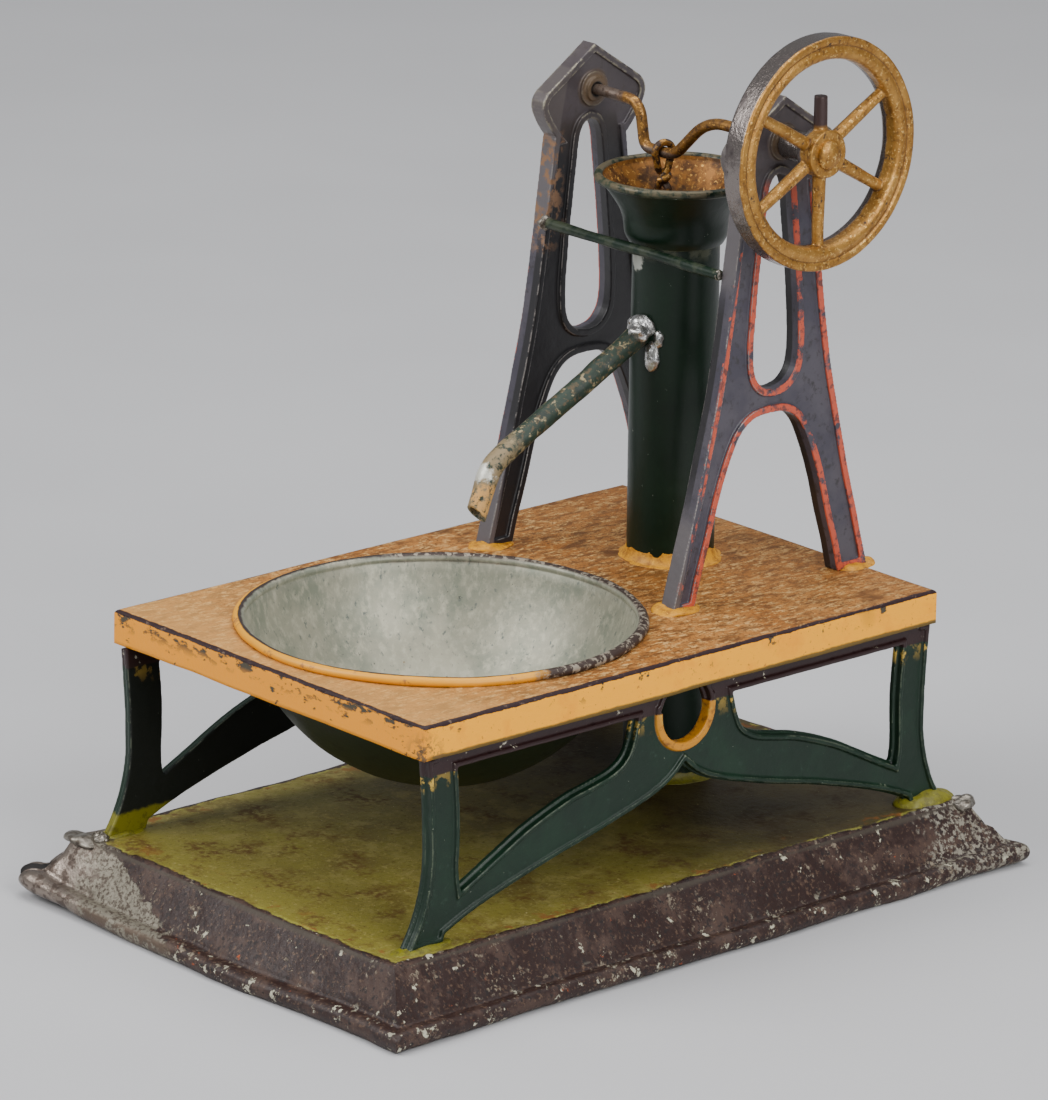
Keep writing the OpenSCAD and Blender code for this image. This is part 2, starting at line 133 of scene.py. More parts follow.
class Coat:
    """A node material built up in layers; its places and sizes are in millimetres."""

    def __init__(self, name, colour, rough, metal=0.0):
        self.material = bpy.data.materials.new(name)
        self.material.use_nodes = True
        self.tree = self.material.node_tree
        self.tree.nodes.clear()
        self.colour = tint(*colour)
        self.rough = rough
        self.metal = metal
        self.height = None
        scaled = self.add("ShaderNodeVectorMath", operation="SCALE")
        self.feed(scaled.inputs[0], self.add("ShaderNodeTexCoord").outputs["Object"])
        self.feed(scaled.inputs["Scale"], 1 / MM)
        self.place = scaled.outputs[0]
        split = self.add("ShaderNodeSeparateXYZ")
        self.feed(split.inputs[0], self.place)
        self.x, self.y, self.z = split.outputs

    def add(self, kind, **settings):
        node = self.tree.nodes.new(kind)
        for key, value in settings.items():
            setattr(node, key, value)
        return node

    def feed(self, socket, value):
        if isinstance(value, bpy.types.NodeSocket):
            self.tree.links.new(value, socket)
        else:
            socket.default_value = value

    def math(self, operation, a, b=0.0, c=0.0):
        node = self.add("ShaderNodeMath", operation=operation)
        for socket, value in zip(node.inputs, (a, b, c)):
            self.feed(socket, value)
        return node.outputs[0]

    def ramp(self, value, low, high):
        """0 at low and 1 at high; low may be the greater of the two."""
        node = self.add("ShaderNodeMapRange", clamp=True)
        self.feed(node.inputs["Value"], value)
        self.feed(node.inputs["From Min"], low)
        self.feed(node.inputs["From Max"], high)
        return node.outputs[0]

    def rise(self, low, high):
        """0 at one height and 1 at another."""
        return self.ramp(self.z, low, high)

    def noise(self, size, detail=3.0, rough=0.6, seed=0.0, stretch=(1, 1, 1)):
        moved = self.add("ShaderNodeVectorMath", operation="MULTIPLY_ADD")
        self.feed(moved.inputs[0], self.place)
        self.feed(moved.inputs[1], stretch)
        self.feed(moved.inputs[2], (seed * 17.3, seed * 31.1, seed * 5.7))
        node = self.add("ShaderNodeTexNoise")
        self.feed(node.inputs["Vector"], moved.outputs[0])
        self.feed(node.inputs["Scale"], 1 / size)
        self.feed(node.inputs["Detail"], detail)
        self.feed(node.inputs["Roughness"], rough)
        return node.outputs[0]

    def distance(self, centre):
        node = self.add("ShaderNodeVectorMath", operation="DISTANCE")
        self.feed(node.inputs[0], self.place)
        self.feed(node.inputs[1], tuple(centre))
        return node.outputs["Value"]

    def hypot(self, a, b):
        return self.math("SQRT", self.math("ADD", self.math("POWER", a, 2.0),
                                           self.math("POWER", b, 2.0)))

    def radius(self, centre, first="x", second="y"):
        """Distance from a line through centre, across the plane of two axes."""
        a = self.math("SUBTRACT", getattr(self, first), getattr(centre, first))
        b = self.math("SUBTRACT", getattr(self, second), getattr(centre, second))
        return self.hypot(a, b)

    def ragged(self, value, size, amount, seed):
        """The value with a ragged offset of up to about half the amount either way."""
        return self.math("ADD", value, self.math("MULTIPLY_ADD", self.noise(size, 6, 0.7, seed),
                                                 amount, -amount / 2))

    def torn(self, value, size, amount, seed, low, high):
        """A ramp with a ragged edge."""
        return self.ramp(self.ragged(value, size, amount, seed), low, high)

    def ball(self, centre, size, blur=0.35, grain=0.5, seed=1.0):
        """1 inside a ragged ball, 0 outside."""
        ragged = self.math("MULTIPLY_ADD", self.noise(size * 0.4, 4, seed=seed),
                           -2 * grain * size, self.distance(centre))
        edge = size * (1 - grain)
        return self.ramp(ragged, edge, edge - blur * size)

    def spots(self, size, low, high, seed=0.0, detail=4.0, stretch=(1, 1, 1)):
        """Ragged spots of about that size; fewer with a higher low."""
        return self.ramp(self.noise(size, detail, 0.65, seed, stretch), low, high)

    def edges(self, low, high):
        """1 on outward edges, or on inward ones if low is the greater."""
        point = self.add("ShaderNodeNewGeometry").outputs["Pointiness"]
        return self.ramp(point, low, high)

    def thin(self, mask, share):
        return self.math("MULTIPLY", mask, share)

    def all_of(self, *masks):
        result = masks[0]
        for mask in masks[1:]:
            result = self.math("MULTIPLY", result, mask)
        return result

    def any_of(self, *masks):
        result = masks[0]
        for mask in masks[1:]:
            result = self.math("MAXIMUM", result, mask)
        return result

    def blend(self, mask, old, new):
        if old == new:
            return old
        node = self.add("ShaderNodeMix", data_type="FLOAT")
        for index, value in zip((0, 2, 3), (mask, old, new)):
            self.feed(node.inputs[index], value)
        return node.outputs[0]

    def layer(self, mask, colour, rough=None, metal=None, height=0.0):
        """Lays a colour over those below where the mask, or each of several, is 1."""
        if isinstance(mask, tuple):
            mask = self.all_of(*mask)
        node = self.add("ShaderNodeMix", data_type="RGBA")
        self.feed(node.inputs[0], mask)
        self.feed(node.inputs[6], self.colour)
        self.feed(node.inputs[7], tint(*colour))
        self.colour = node.outputs[2]
        if rough is not None:
            self.rough = self.blend(mask, self.rough, rough)
        if metal is not None:
            self.metal = self.blend(mask, self.metal, metal)
        if height:
            self.lift(mask, height)

    def fleck(self, spots, colour, rough=None, metal=None, height=0.0, on=None):
        """A layer of spots, everywhere or only where the mask named by on is 1."""
        mask = self.spots(*spots)
        self.layer(mask if on is None else (on, mask), colour, rough, metal, height)

    def lift(self, mask, height):
        step = self.math("MULTIPLY", mask, height)
        self.height = step if self.height is None else self.math("ADD", self.height, step)

    def done(self, coat=0.0, sheen=0.5):
        shader = self.add("ShaderNodeBsdfPrincipled")
        self.feed(shader.inputs["Specular IOR Level"], sheen)
        self.feed(shader.inputs["Base Color"], self.colour)
        self.feed(shader.inputs["Roughness"], self.rough)
        self.feed(shader.inputs["Metallic"], self.metal)
        self.feed(shader.inputs["Coat Weight"], coat)
        self.feed(shader.inputs["Coat Roughness"], 0.25)
        if self.height is not None:
            bump = self.add("ShaderNodeBump")
            self.feed(bump.inputs["Strength"], 1.0)
            self.feed(bump.inputs["Distance"], MM)
            self.feed(bump.inputs["Height"], self.height)
            self.feed(shader.inputs["Normal"], bump.outputs[0])
        out = self.add("ShaderNodeOutputMaterial")
        self.feed(out.inputs["Surface"], shader.outputs[0])
        return self.material


MAROON = (42, 25, 21)
OCHRE = (255, 172, 12)


def outside(coat, half_x, half_y):
    """Distance beyond a rectangle round the origin; negative inside it."""
    across = coat.math("SUBTRACT", coat.math("ABSOLUTE", coat.x), half_x)
    along = coat.math("SUBTRACT", coat.math("ABSOLUTE", coat.y), half_y)
    return coat.math("MAXIMUM", across, along)


def tray_paint():
    """Olive top and maroon sides, worn to the tin along the edges and at the corners."""
    coat = Coat("tray_paint", (120, 112, 42), 0.5)
    edge = outside(coat, TRAY_TOP.x, TRAY_TOP.y)
    olive_top(coat, edge)
    ragged = coat.ragged(edge, 4, 3.2, 7)
    coat.layer((coat.ramp(ragged, -1.6, -1.0), coat.spots(4, 0.46, 0.54, 24)), (150, 146, 62))
    side = coat.ramp(ragged, -1.0, -0.7)
    coat.layer(side, MAROON, 0.42, height=0.06)
    coat.fleck((6, 0.5, 0.6, 8, 6), (66, 48, 40), 0.5, on=side)
    coat.fleck((0.7, 0.56, 0.64, 9, 6), (92, 72, 58), 0.45, 0.2, on=side)
    coat.fleck((0.9, 0.56, 0.63, 22, 5), (28, 19, 18), 0.55, on=side)
    tin = coat.all_of(side, coat.spots(1.1, 0.56, 0.61, 23, 6), coat.spots(9, 0.53, 0.59, 10, 5))
    coat.layer(tin, (138, 126, 108), 0.4, 0.4, -0.05)
    low = coat.all_of(coat.rise(4.5, 2.2), coat.spots(2.2, 0.6, 0.63, 11, 6))
    chips = coat.any_of(low, coat.all_of(side, coat.spots(3.6, 0.64, 0.66, 12, 6)))
    coat.layer(chips, (182, 178, 156), 0.45, height=-0.06)
    coat.fleck((2.4, 0.68, 0.72, 18, 5), (164, 76, 34), 0.7, on=side)
    bare_corners(coat, side)
    under = coat.all_of(coat.ramp(edge, 3.0, 2.5), coat.ramp(edge, 0.6, 0.2),
                        coat.rise(TRAY_Z - 0.25, TRAY_Z - 0.4))
    coat.layer(under, (70, 62, 54), 0.55, 0.4)
    return coat.done(sheen=0.4)


def olive_top(coat, edge):
    """Yellow-green near the basin end with brown stains, and dark brown painted shade further back and under
    the table.
    """
    coat.fleck((18, 0.42, 0.6, 1), (104, 92, 36))
    coat.fleck((4, 0.5, 0.64, 2), (134, 124, 62))
    fresh = coat.torn(coat.y, 16, 22, 26, -42.0, -54.0)
    coat.layer(coat.thin(fresh, 0.8), (124, 116, 46), 0.42)
    coat.fleck((0.7, 0.56, 0.68, 5, 6), (150, 138, 80), 0.6)
    coat.fleck((0.8, 0.57, 0.7, 3, 6), (84, 68, 26), 0.65)
    stains = coat.all_of(coat.spots(9, 0.5, 0.62, 20, 5), coat.spots(1.1, 0.4, 0.58, 21, 6))
    coat.layer(stains, (88, 64, 22), 0.65)
    # painted shade: dark brown over the back of the tray top, where the table's shadow falls
    back = coat.torn(coat.y, 20, 40, 4, -12.0, 26.0)
    coat.layer(coat.thin(back, 0.8), (48, 35, 13))
    coat.fleck((0.7, 0.68, 0.72, 25), (182, 170, 120))
    rusty = coat.all_of(coat.ramp(edge, -7.0, -1.0), coat.spots(5, 0.58, 0.64, 19, 6))
    coat.layer(rusty, (122, 74, 26), 0.7)
    coat.lift(coat.noise(1.2, 5, seed=6), 0.12)


def bare_corners(coat, side):
    """Speckled tin at the crushed corner and at the splayed one, and near-black painted shade in the open
    seam.
    """
    reach = coat.ragged(coat.distance((-CURL.x, -CURL.y, 4)), 6, 26, 13)
    slanted = coat.math("MULTIPLY_ADD", coat.z, 2.4, reach)
    bare = coat.all_of(side, coat.ramp(slanted, 43.0, 42.4))
    coat.layer(bare, (132, 126, 112), 0.42, 0.5, -0.05)
    coat.fleck((0.7, 0.48, 0.58, 14, 6), (76, 66, 56), 0.5, 0.3, on=bare)
    curl = coat.all_of(coat.ramp(reach, 42.0, 38.0), coat.rise(3.0, 2.4))
    coat.fleck((2.5, 0.44, 0.5, 27, 6), (92, 78, 66), 0.45, 0.4, on=curl)
    coat.layer(coat.ramp(reach, 15.0, 9.0), (140, 128, 118), 0.3, 0.85)
    coat.layer((coat.ramp(reach, 18.0, 12.0), coat.spots(2, 0.5, 0.58, 15, 6)), (84, 72, 64), 0.4, 0.6)
    # painted shade: near-black inside the open seam at the crushed corner
    apart = coat.math("ABSOLUTE", coat.math("SUBTRACT", coat.math("ADD", coat.x, CURL.x),
                                            coat.math("ADD", coat.y, CURL.y)))
    slot = coat.all_of(coat.ramp(apart, 0.75, 0.5), coat.ramp(coat.x, 4 - CURL.x, 3 - CURL.x),
                       coat.ramp(coat.y, 3 - CURL.y, 2 - CURL.y), coat.rise(2.6, 3.2))
    coat.layer(slot, (14, 10, 9), 0.7, 0.0)
    far = coat.all_of(side, coat.ball((CURL.x, CURL.y, 6), 18, 0.1, 0.6, 16))
    coat.fleck((0.9, 0.5, 0.58, 17, 6), (146, 140, 126), 0.45, 0.4, -0.05, on=far)


def table_paint():
    """Wood-grained brown top with painted light and shade along it, ochre skirt, a maroon line round the top
    edge and painted shade underneath.
    """
    coat = Coat("table_paint", (172, 116, 56), 0.55)
    grain = (1.0, 0.4, 1.0)
    coat.fleck((24, 0.42, 0.6, 1), (152, 94, 34))
    coat.fleck((2.0, 0.46, 0.6, 2, 6, grain), (112, 70, 30))
    coat.fleck((0.8, 0.5, 0.64, 3, 6, grain), (204, 160, 98))
    coat.fleck((0.5, 0.52, 0.64, 13, 6), (92, 58, 26))
    coat.fleck((9, 0.57, 0.7, 4, 6, (1.0, 0.6, 1.0)), (92, 56, 22))
    # lighter towards the basin end and darker towards the far end: partly the paint's own tone, partly
    # painted light and painted shade
    front = coat.torn(coat.y, 16, 36, 5, -22.0, -46.0)
    coat.layer(coat.thin(front, 0.5), (204, 152, 84))
    back = coat.torn(coat.y, 16, 30, 14, 22.0, 54.0)
    coat.layer(coat.thin(back, 0.3), (120, 82, 46))
    coat.lift(coat.noise(0.8, 5, seed=6, stretch=grain), 0.1)
    edge = outside(coat, table_hi.x, table_hi.y)
    skirt_paint(coat, edge)
    # painted shade: the table's underside and the inside of its skirt are made near-black brown
    inside = coat.all_of(coat.ramp(edge, -0.2, -0.3), coat.rise(TABLE_Z - 0.3, TABLE_Z - 0.4))
    coat.layer(inside, (40, 30, 26), 0.6)
    return coat.done(sheen=0.3)


def skirt_paint(coat, edge):
    """Ochre with dark chips, a darker ochre of painted shade on the basin-end face, an olive lower edge and
    the maroon line above.
    """
    skirt = coat.rise(TABLE_Z - 0.2, TABLE_Z - 0.5)
    coat.layer(skirt, OCHRE, 0.4, height=0.05)
    coat.fleck((7, 0.5, 0.72, 7), (242, 152, 10), on=skirt)
    coat.fleck((0.9, 0.62, 0.68, 17, 5), (190, 118, 40), on=skirt)
    low = coat.all_of(skirt, coat.torn(coat.z, 5, 0.8, 15, table_lo.z + 0.8, table_lo.z + 0.5))
    coat.layer(low, (112, 88, 34), 0.5)
    # painted shade: the skirt's basin-end face gets a darker ochre than its other faces
    front_face = coat.ramp(coat.y, -54.0, -55.6)
    coat.layer((skirt, front_face), (238, 152, 14))
    high = coat.rise(TABLE_Z - 3.4, TABLE_Z - 1.4)
    chips = coat.any_of(coat.spots(2.6, 0.68, 0.7, 10, 6),
                        coat.all_of(front_face, coat.spots(1.7, 0.62, 0.65, 11, 6, (0.5, 1, 1))),
                        coat.all_of(front_face, high, coat.spots(1.9, 0.54, 0.58, 18, 6, (0.5, 1, 1))),
                        coat.all_of(high, coat.spots(3.2, 0.62, 0.64, 12, 6)))
    coat.layer((skirt, chips), (74, 68, 54), 0.45, 0.2, -0.08)
    corner = coat.all_of(coat.ramp(coat.distance((table_hi.x, -table_hi.y, table_lo.z)), 5.0, 2.0),
                         coat.spots(1.4, 0.46, 0.52, 19, 6))
    coat.layer((skirt, corner), (112, 84, 52), 0.5)
    band = coat.all_of(coat.torn(coat.z, 5, 0.9, 8, TABLE_Z - 0.6, TABLE_Z - 0.5),
                       coat.torn(edge, 4, 0.9, 9, -0.65, -0.5))
    coat.layer(band, (42, 24, 26), 0.45)
    coat.fleck((1.4, 0.6, 0.64, 16, 5), (96, 78, 66), 0.45, on=band)


def basin_tin():
    """Mottled grey inside with a painted pool of light, worn dark lip, ochre outer rim and dark green
    outside.
    """
    coat = Coat("basin_tin", (150, 148, 130), 0.45, 0.3)
    coat.fleck((9, 0.42, 0.62, 1, 5), (126, 130, 114))
    coat.fleck((1.3, 0.48, 0.72, 2, 6, (1, 1, 0.6)), (176, 172, 152))
    # painted light: a lighter pool on the inner wall, where the lamp's light falls into the bowl
    coat.layer(coat.ball((-8, -14, 40), 20, 0.6, 0.5, 3), (186, 182, 162), 0.42)
    olive = coat.thin(coat.ball((16, -34, 40), 20, 0.7, 0.5, 4), 0.8)
    coat.layer(olive, (150, 134, 92), 0.5, 0.2)
    coat.fleck((0.9, 0.6, 0.68, 13, 6, (1, 1, 0.5)), (100, 106, 98), 0.5)
    coat.fleck((1.4, 0.67, 0.71, 5, 5), (66, 68, 64), 0.5)
    coat.fleck((2.4, 0.7, 0.74, 6, 5), (130, 104, 66), 0.6)
    coat.lift(coat.noise(1.6, 5, seed=7), 0.06)
    reach = coat.radius(BASIN)
    above = coat.rise(TABLE_Z - 0.8, TABLE_Z)
    lip = coat.all_of(coat.torn(reach, 4, 1.2, 8, RIM_R - 0.7, RIM_R - 0.4), above)
    coat.layer(lip, (48, 36, 32), 0.5, 0.1)
    outer = coat.all_of(coat.torn(reach, 5, 0.6, 10, RIM_R + 0.05, RIM_R + 0.25), above)
    coat.layer(outer, (226, 156, 14), 0.45, 0.0)
    coat.fleck((4, 0.58, 0.64, 11), (160, 106, 56), 0.5, on=outer)
    turned = coat.math("MULTIPLY_ADD", coat.math("SUBTRACT", coat.x, BASIN.x), 0.35,
                       coat.math("SUBTRACT", coat.y, BASIN.y))
    rear = coat.all_of(coat.torn(turned, 9, 14, 14, 2.0, 6.0), above,
                       coat.ramp(reach, RIM_R - 0.9, RIM_R - 0.6))
    coat.layer(rear, (54, 40, 34), 0.5, 0.1)
    coat.fleck((1.3, 0.52, 0.56, 9, 6), (150, 140, 124), 0.45, 0.3, on=rear)
    bowl = coat.distance((BASIN.x, BASIN.y, BOWL_Z))
    shell = coat.all_of(coat.ramp(bowl, BOWL_R - 0.35, BOWL_R - 0.25),
                        coat.rise(TABLE_Z, TABLE_Z - 0.3))
    coat.layer(shell, (12, 28, 17), 0.45, 0.0)
    coat.fleck((6, 0.55, 0.7, 12), (8, 18, 11), 0.5, on=shell)
    return coat.done()


def green_casting():
    """Dark green castings with worn edges, painted shade on the inner faces, an ochre U and a maroon rail.
    """
    coat = Coat("leg_green", (8, 32, 18), 0.42)
    coat.fleck((8, 0.45, 0.65, 1), (13, 40, 24), 0.4)
    coat.fleck((1.6, 0.62, 0.72, 2, 5), (36, 56, 44), 0.5)
    # painted shade: the inner faces of the leg frames, under the table, are made near-black green
    inner = coat.ramp(coat.math("ABSOLUTE", coat.x), leg_lo.x + 0.35, leg_lo.x + 0.15)
    coat.layer(inner, (7, 13, 9), 0.55)
    coat.lift(coat.noise(1.5, 4, seed=3), 0.08)
    worn = coat.all_of(coat.edges(0.53, 0.56), coat.spots(3, 0.44, 0.54, 4, 6))
    coat.layer(worn, (116, 124, 104), 0.4, 0.4)
    coat.layer((coat.edges(0.47, 0.45), coat.spots(2, 0.4, 0.6, 12, 5)), (8, 14, 10), 0.6)
    side = coat.ramp(coat.x, -0.1, 0.1)
    shift = coat.math("MULTIPLY_ADD", side, LEG_SHIFT_LEFT - LEG_SHIFT_RIGHT, -LEG_SHIFT_LEFT)
    along = coat.math("ADD", coat.y, shift)
    up = coat.math("MINIMUM", coat.math("SUBTRACT", coat.z, U_Z), 0.0)
    ring = coat.hypot(along, up)
    collar = coat.all_of(coat.ramp(ring, U_R + 1.6, U_R + 1.4), coat.rise(RAIL_Z + 0.2, RAIL_Z))
    coat.layer(collar, (190, 126, 26), 0.42)
    coat.fleck((1.5, 0.5, 0.64, 5, 5), (126, 80, 30), 0.5, on=collar)
    tips = coat.all_of(coat.rise(RAIL_Z - 3.4, RAIL_Z - 1.2), coat.edges(0.49, 0.52),
                       coat.spots(3, 0.52, 0.57, 6, 5))
    coat.layer(tips, (196, 160, 66), 0.45)
    foot = coat.all_of(coat.torn(coat.z, 3, 1.6, 10, TRAY_Z + 4.0, TRAY_Z + 3.5),
                       coat.ramp(coat.x, 0.0, -0.1), coat.ramp(coat.y, 0.0, -0.1))
    coat.layer(foot, (112, 108, 16), 0.42)
    coat.fleck((1.2, 0.52, 0.6, 11, 5), (88, 84, 12), 0.5, on=foot)
    rail = coat.torn(coat.z, 4, 0.6, 7, RAIL_Z - 0.2, RAIL_Z)
    coat.layer(rail, (42, 24, 24), 0.38)
    coat.fleck((2.2, 0.66, 0.69, 8, 6), (196, 190, 168), 0.5, on=rail)
    coat.fleck((0.7, 0.72, 0.76, 9, 3), (150, 156, 140), 0.5)
    return coat.done(0.03, 0.35)


def pump_green(name="pump_green"):
    """Dark green paint with a soft shine, a few scuffs and small chips."""
    coat = Coat(name, (6, 27, 14), 0.38)
    coat.fleck((10, 0.45, 0.65, 1), (10, 33, 18), 0.42)
    coat.fleck((2.5, 0.6, 0.75, 2, 5), (20, 38, 24), 0.48)
    coat.lift(coat.noise(6, 4, seed=3), 0.12)
    coat.fleck((1.1, 0.72, 0.74, 4, 4), (150, 156, 142), 0.45, 0.3, -0.03)
    chip = (PUMP.x - 2.0, PUMP.y - BARREL_R, FUNNEL_Z - 2.5)
    coat.layer(coat.ball(chip, 2.2, 0.2, 0.45, 6), (176, 178, 168), 0.4, 0.3)
    neck = coat.all_of(coat.edges(0.515, 0.54), coat.spots(3, 0.45, 0.58, 7, 5))
    coat.layer(neck, (74, 78, 60), 0.45)
    rim = coat.all_of(coat.rise(FUNNEL_Z + 10.4, FUNNEL_Z + 11.0), coat.spots(2.2, 0.44, 0.52, 8, 6))
    coat.layer(rim, (96, 88, 68), 0.42, 0.3)
    return coat.done(0.03, 0.3)


def funnel_lining():
    """Gold-brown paint inside the funnel, with painted shade deep down."""
    coat = Coat("funnel_lining", (150, 98, 36), 0.42, 0.45)
    coat.fleck((2.4, 0.45, 0.6, 1, 6), (92, 56, 20), 0.5)
    coat.fleck((0.7, 0.57, 0.64, 2, 4), (214, 160, 76), 0.35)
    coat.fleck((5, 0.5, 0.62, 4, 5), (70, 44, 18), 0.5)
    # painted shade: darker deep in the funnel, towards the bore
    coat.layer(coat.rise(FUNNEL_Z + 7, FUNNEL_Z + 3), (40, 26, 12), 0.6)
    coat.lift(coat.noise(1, 4, seed=3), 0.06)
    return coat.done()


def spout_green():
    """Green paint worn to tan and bare metal along the top and at the tip."""
    coat = Coat("spout_green", (26, 46, 32), 0.5)
    coat.fleck((3, 0.45, 0.6, 1, 5), (17, 34, 23), 0.5)
    coat.fleck((0.9, 0.54, 0.62, 2, 6), (84, 70, 46), 0.6)
    top = coat.any_of(coat.spots(1.3, 0.58, 0.62, 3, 6), coat.all_of(
        coat.torn(coat.x, 2, 3.0, 8, PUMP.x - 0.9, PUMP.x - 1.4), coat.spots(1.2, 0.44, 0.5, 9, 6)))
    coat.layer(top, (146, 132, 98), 0.5, 0.2)
    tip = (PUMP.x, SPOUT_BEND.y - 1.5, SPOUT_BEND.z - 2.5)
    coat.layer((coat.ball(tip, 10, 0.3, 0.5, 4), coat.spots(1.2, 0.42, 0.5, 10, 6)), (134, 116, 84), 0.55)
    patch = coat.ball((PUMP.x + 1.4, SPOUT_BEND.y - 2.6, SPOUT_BEND.z - 5.4), 3.0, 0.2, 0.4, 5)
    coat.fleck((0.8, 0.42, 0.5, 11, 5), (198, 150, 84), 0.6, on=patch)
    coat.layer(coat.ball((PUMP.x - 0.3, SPOUT_BEND.y - 1.0, SPOUT_BEND.z - 1.4), 2.2, 0.2, 0.45, 6),
               (206, 204, 192), 0.4, 0.3)
    coat.lift(coat.noise(0.9, 5, seed=7), 0.1)
    return coat.done()


def slate_casting():
    """Slate castings: thin red lining on the outer rims, grey front edges that are partly worn metal and
    partly painted highlight, dark inner faces.
    """
    coat = Coat("frame_slate", (58, 55, 66), 0.42)
    coat.fleck((9, 0.42, 0.6, 1), (72, 68, 76), 0.4)
    coat.fleck((1.4, 0.55, 0.66, 2, 6), (48, 44, 48), 0.5)
    across = coat.math("SUBTRACT", coat.y, PUMP.y)
    half = coat.math("MULTIPLY_ADD", coat.z, -0.205, 22.0 + 0.205 * TABLE_Z)
    past = coat.math("SUBTRACT", coat.math("ABSOLUTE", across), half)
    front = coat.ramp(across, -2.0, -3.0)
    inner_right = coat.ramp(coat.x, RIGHT_FACE - 1.5, RIGHT_FACE - 1.7)
    inner_left = coat.any_of(coat.ramp(coat.x, LEFT_FACE + 1.5, LEFT_FACE + 1.7),
                             coat.ramp(coat.x, LEFT_FACE - 2, LEFT_FACE - 3))
    inside = coat.all_of(inner_right, inner_left, coat.ramp(past, -1.1, -1.5),
                         coat.rise(121.0, 119.0))
    coat.layer(inside, (27, 25, 28), 0.42)
    coat.lift(coat.noise(1.8, 4, seed=3), 0.08)
    face = coat.any_of(coat.ramp(coat.x, RIGHT_FACE - 0.34, RIGHT_FACE - 0.24),
                       coat.ramp(coat.x, LEFT_FACE + 0.34, LEFT_FACE + 0.24))
    edge = coat.ramp(past, -2.2, -1.9)
    patchy = coat.spots(2.6, 0.56, 0.6, 10, 6)
    kept = coat.any_of(coat.all_of(edge, front, patchy), coat.all_of(
        coat.math("SUBTRACT", 1.0, coat.all_of(edge, front)), coat.spots(4, 0.4, 0.46, 4, 6)))
    lined = coat.all_of(face, coat.rise(119.5, 117.5), kept)
    coat.layer(lined, (188, 78, 52), 0.45)
    coat.fleck((1.2, 0.52, 0.6, 5, 6), (104, 54, 48), 0.5, on=lined)
    # grey on the front edges: partly worn metal, partly painted highlight where the lamp lights the faces
    # towards the basin end
    bevel = coat.all_of(front, coat.ramp(past, -1.3, -1.0))
    coat.layer(coat.thin(bevel, 0.8), (104, 99, 100), 0.34, 0.3)
    worn = coat.all_of(coat.edges(0.52, 0.55), coat.any_of(
        coat.all_of(front, coat.spots(3, 0.46, 0.52, 6, 6)), coat.spots(2.4, 0.63, 0.68, 7, 6)))
    coat.layer(worn, (140, 134, 130), 0.38, 0.5)
    head_marks(coat)
    return coat.done(0.1)


def head_marks(coat):
    """Brown head with a dirty ring round the bearing, and tan patches down one leg."""
    head = coat.torn(coat.z, 6, 8, 11, 112.0, 120.0)
    coat.layer(coat.thin(head, 0.55), (72, 62, 58), 0.45, 0.2)
    top = coat.all_of(coat.rise(118.5, 120.5), coat.edges(0.5, 0.53))
    coat.fleck((1.6, 0.46, 0.54, 12, 6), (140, 134, 118), 0.4, 0.5, on=top)
    ring = coat.radius(Vector((0, SHAFT_Y, SHAFT_Z)), "y", "z")
    coat.layer(coat.torn(ring, 3, 1.6, 13, 3.6, 2.4), (92, 74, 54), 0.5)
    coat.layer(coat.ramp(ring, 1.5, 1.2), (18, 14, 12), 0.6)
    tan = coat.all_of(coat.ball((left_hi.x - 1.5, PUMP.y - 9.5, 109), 11, 0.3, 0.5, 8),
                      coat.spots(2.2, 0.48, 0.56, 14, 6), coat.ramp(coat.y, PUMP.y - 5.0, PUMP.y - 7.0))
    coat.layer(tan, (134, 100, 72), 0.5)


def bronze(name, dark, wheel=False):
    """Gold-bronze paint over dark metal, worn through in places, with small painted highlights."""
    coat = Coat(name, (158, 112, 46), 0.38, 0.6)
    coat.fleck((0.9, 0.48, 0.64, 1, 6), (112, 76, 34), 0.45)
    coat.fleck((4, 0.46, 0.62, 2, 5), (176, 130, 62), 0.34)
    # painted highlights: small light flecks standing in for glints on the bronze paint
    coat.fleck((0.5, 0.57, 0.64, 3, 4), (220, 178, 104), 0.3)
    coat.fleck((2.2, dark, dark + 0.05, 4, 6), (58, 40, 28), 0.5, 0.3)
    coat.layer(coat.edges(0.49, 0.46), (78, 48, 20), 0.55, 0.3)
    coat.lift(coat.noise(0.6, 4, seed=5), 0.09)
    if wheel:
        wheel_steel(coat)
    return coat.done()


def wheel_steel(coat):
    """Bare dark steel on the outer face, the back and the broken spoke."""
    reach = coat.radius(Vector((0, SHAFT_Y, SHAFT_Z)), "y", "z")
    rim = coat.all_of(coat.ramp(reach, WHEEL_R - 0.35, WHEEL_R - 0.2), coat.ramp(
        coat.ragged(coat.x, 3, 0.8, 9), wheel_hi.x - 0.3, wheel_hi.x - 0.5))
    rear = coat.torn(coat.x, 2, 1.2, 6, wheel_hi.x - 2.4, wheel_hi.x - 2.8)
    steel = coat.any_of(rim, rear)
    coat.layer(steel, (128, 120, 116), 0.24, 0.9)
    coat.fleck((3.2, 0.5, 0.66, 7, 6), (74, 66, 66), 0.36, 0.7, on=steel)
    coat.fleck((0.8, 0.62, 0.7, 10, 5), (52, 44, 42), 0.5, 0.5, on=steel)
    stub = coat.all_of(coat.rise(SHAFT_Z + 4.0, SHAFT_Z + 4.8), coat.ramp(reach, 12.0, 11.5))
    near = coat.ramp(coat.math("ABSOLUTE", coat.math("SUBTRACT", coat.y, SHAFT_Y)), 1.9, 1.6)
    coat.layer((stub, near), (60, 44, 42), 0.45, 0.4)


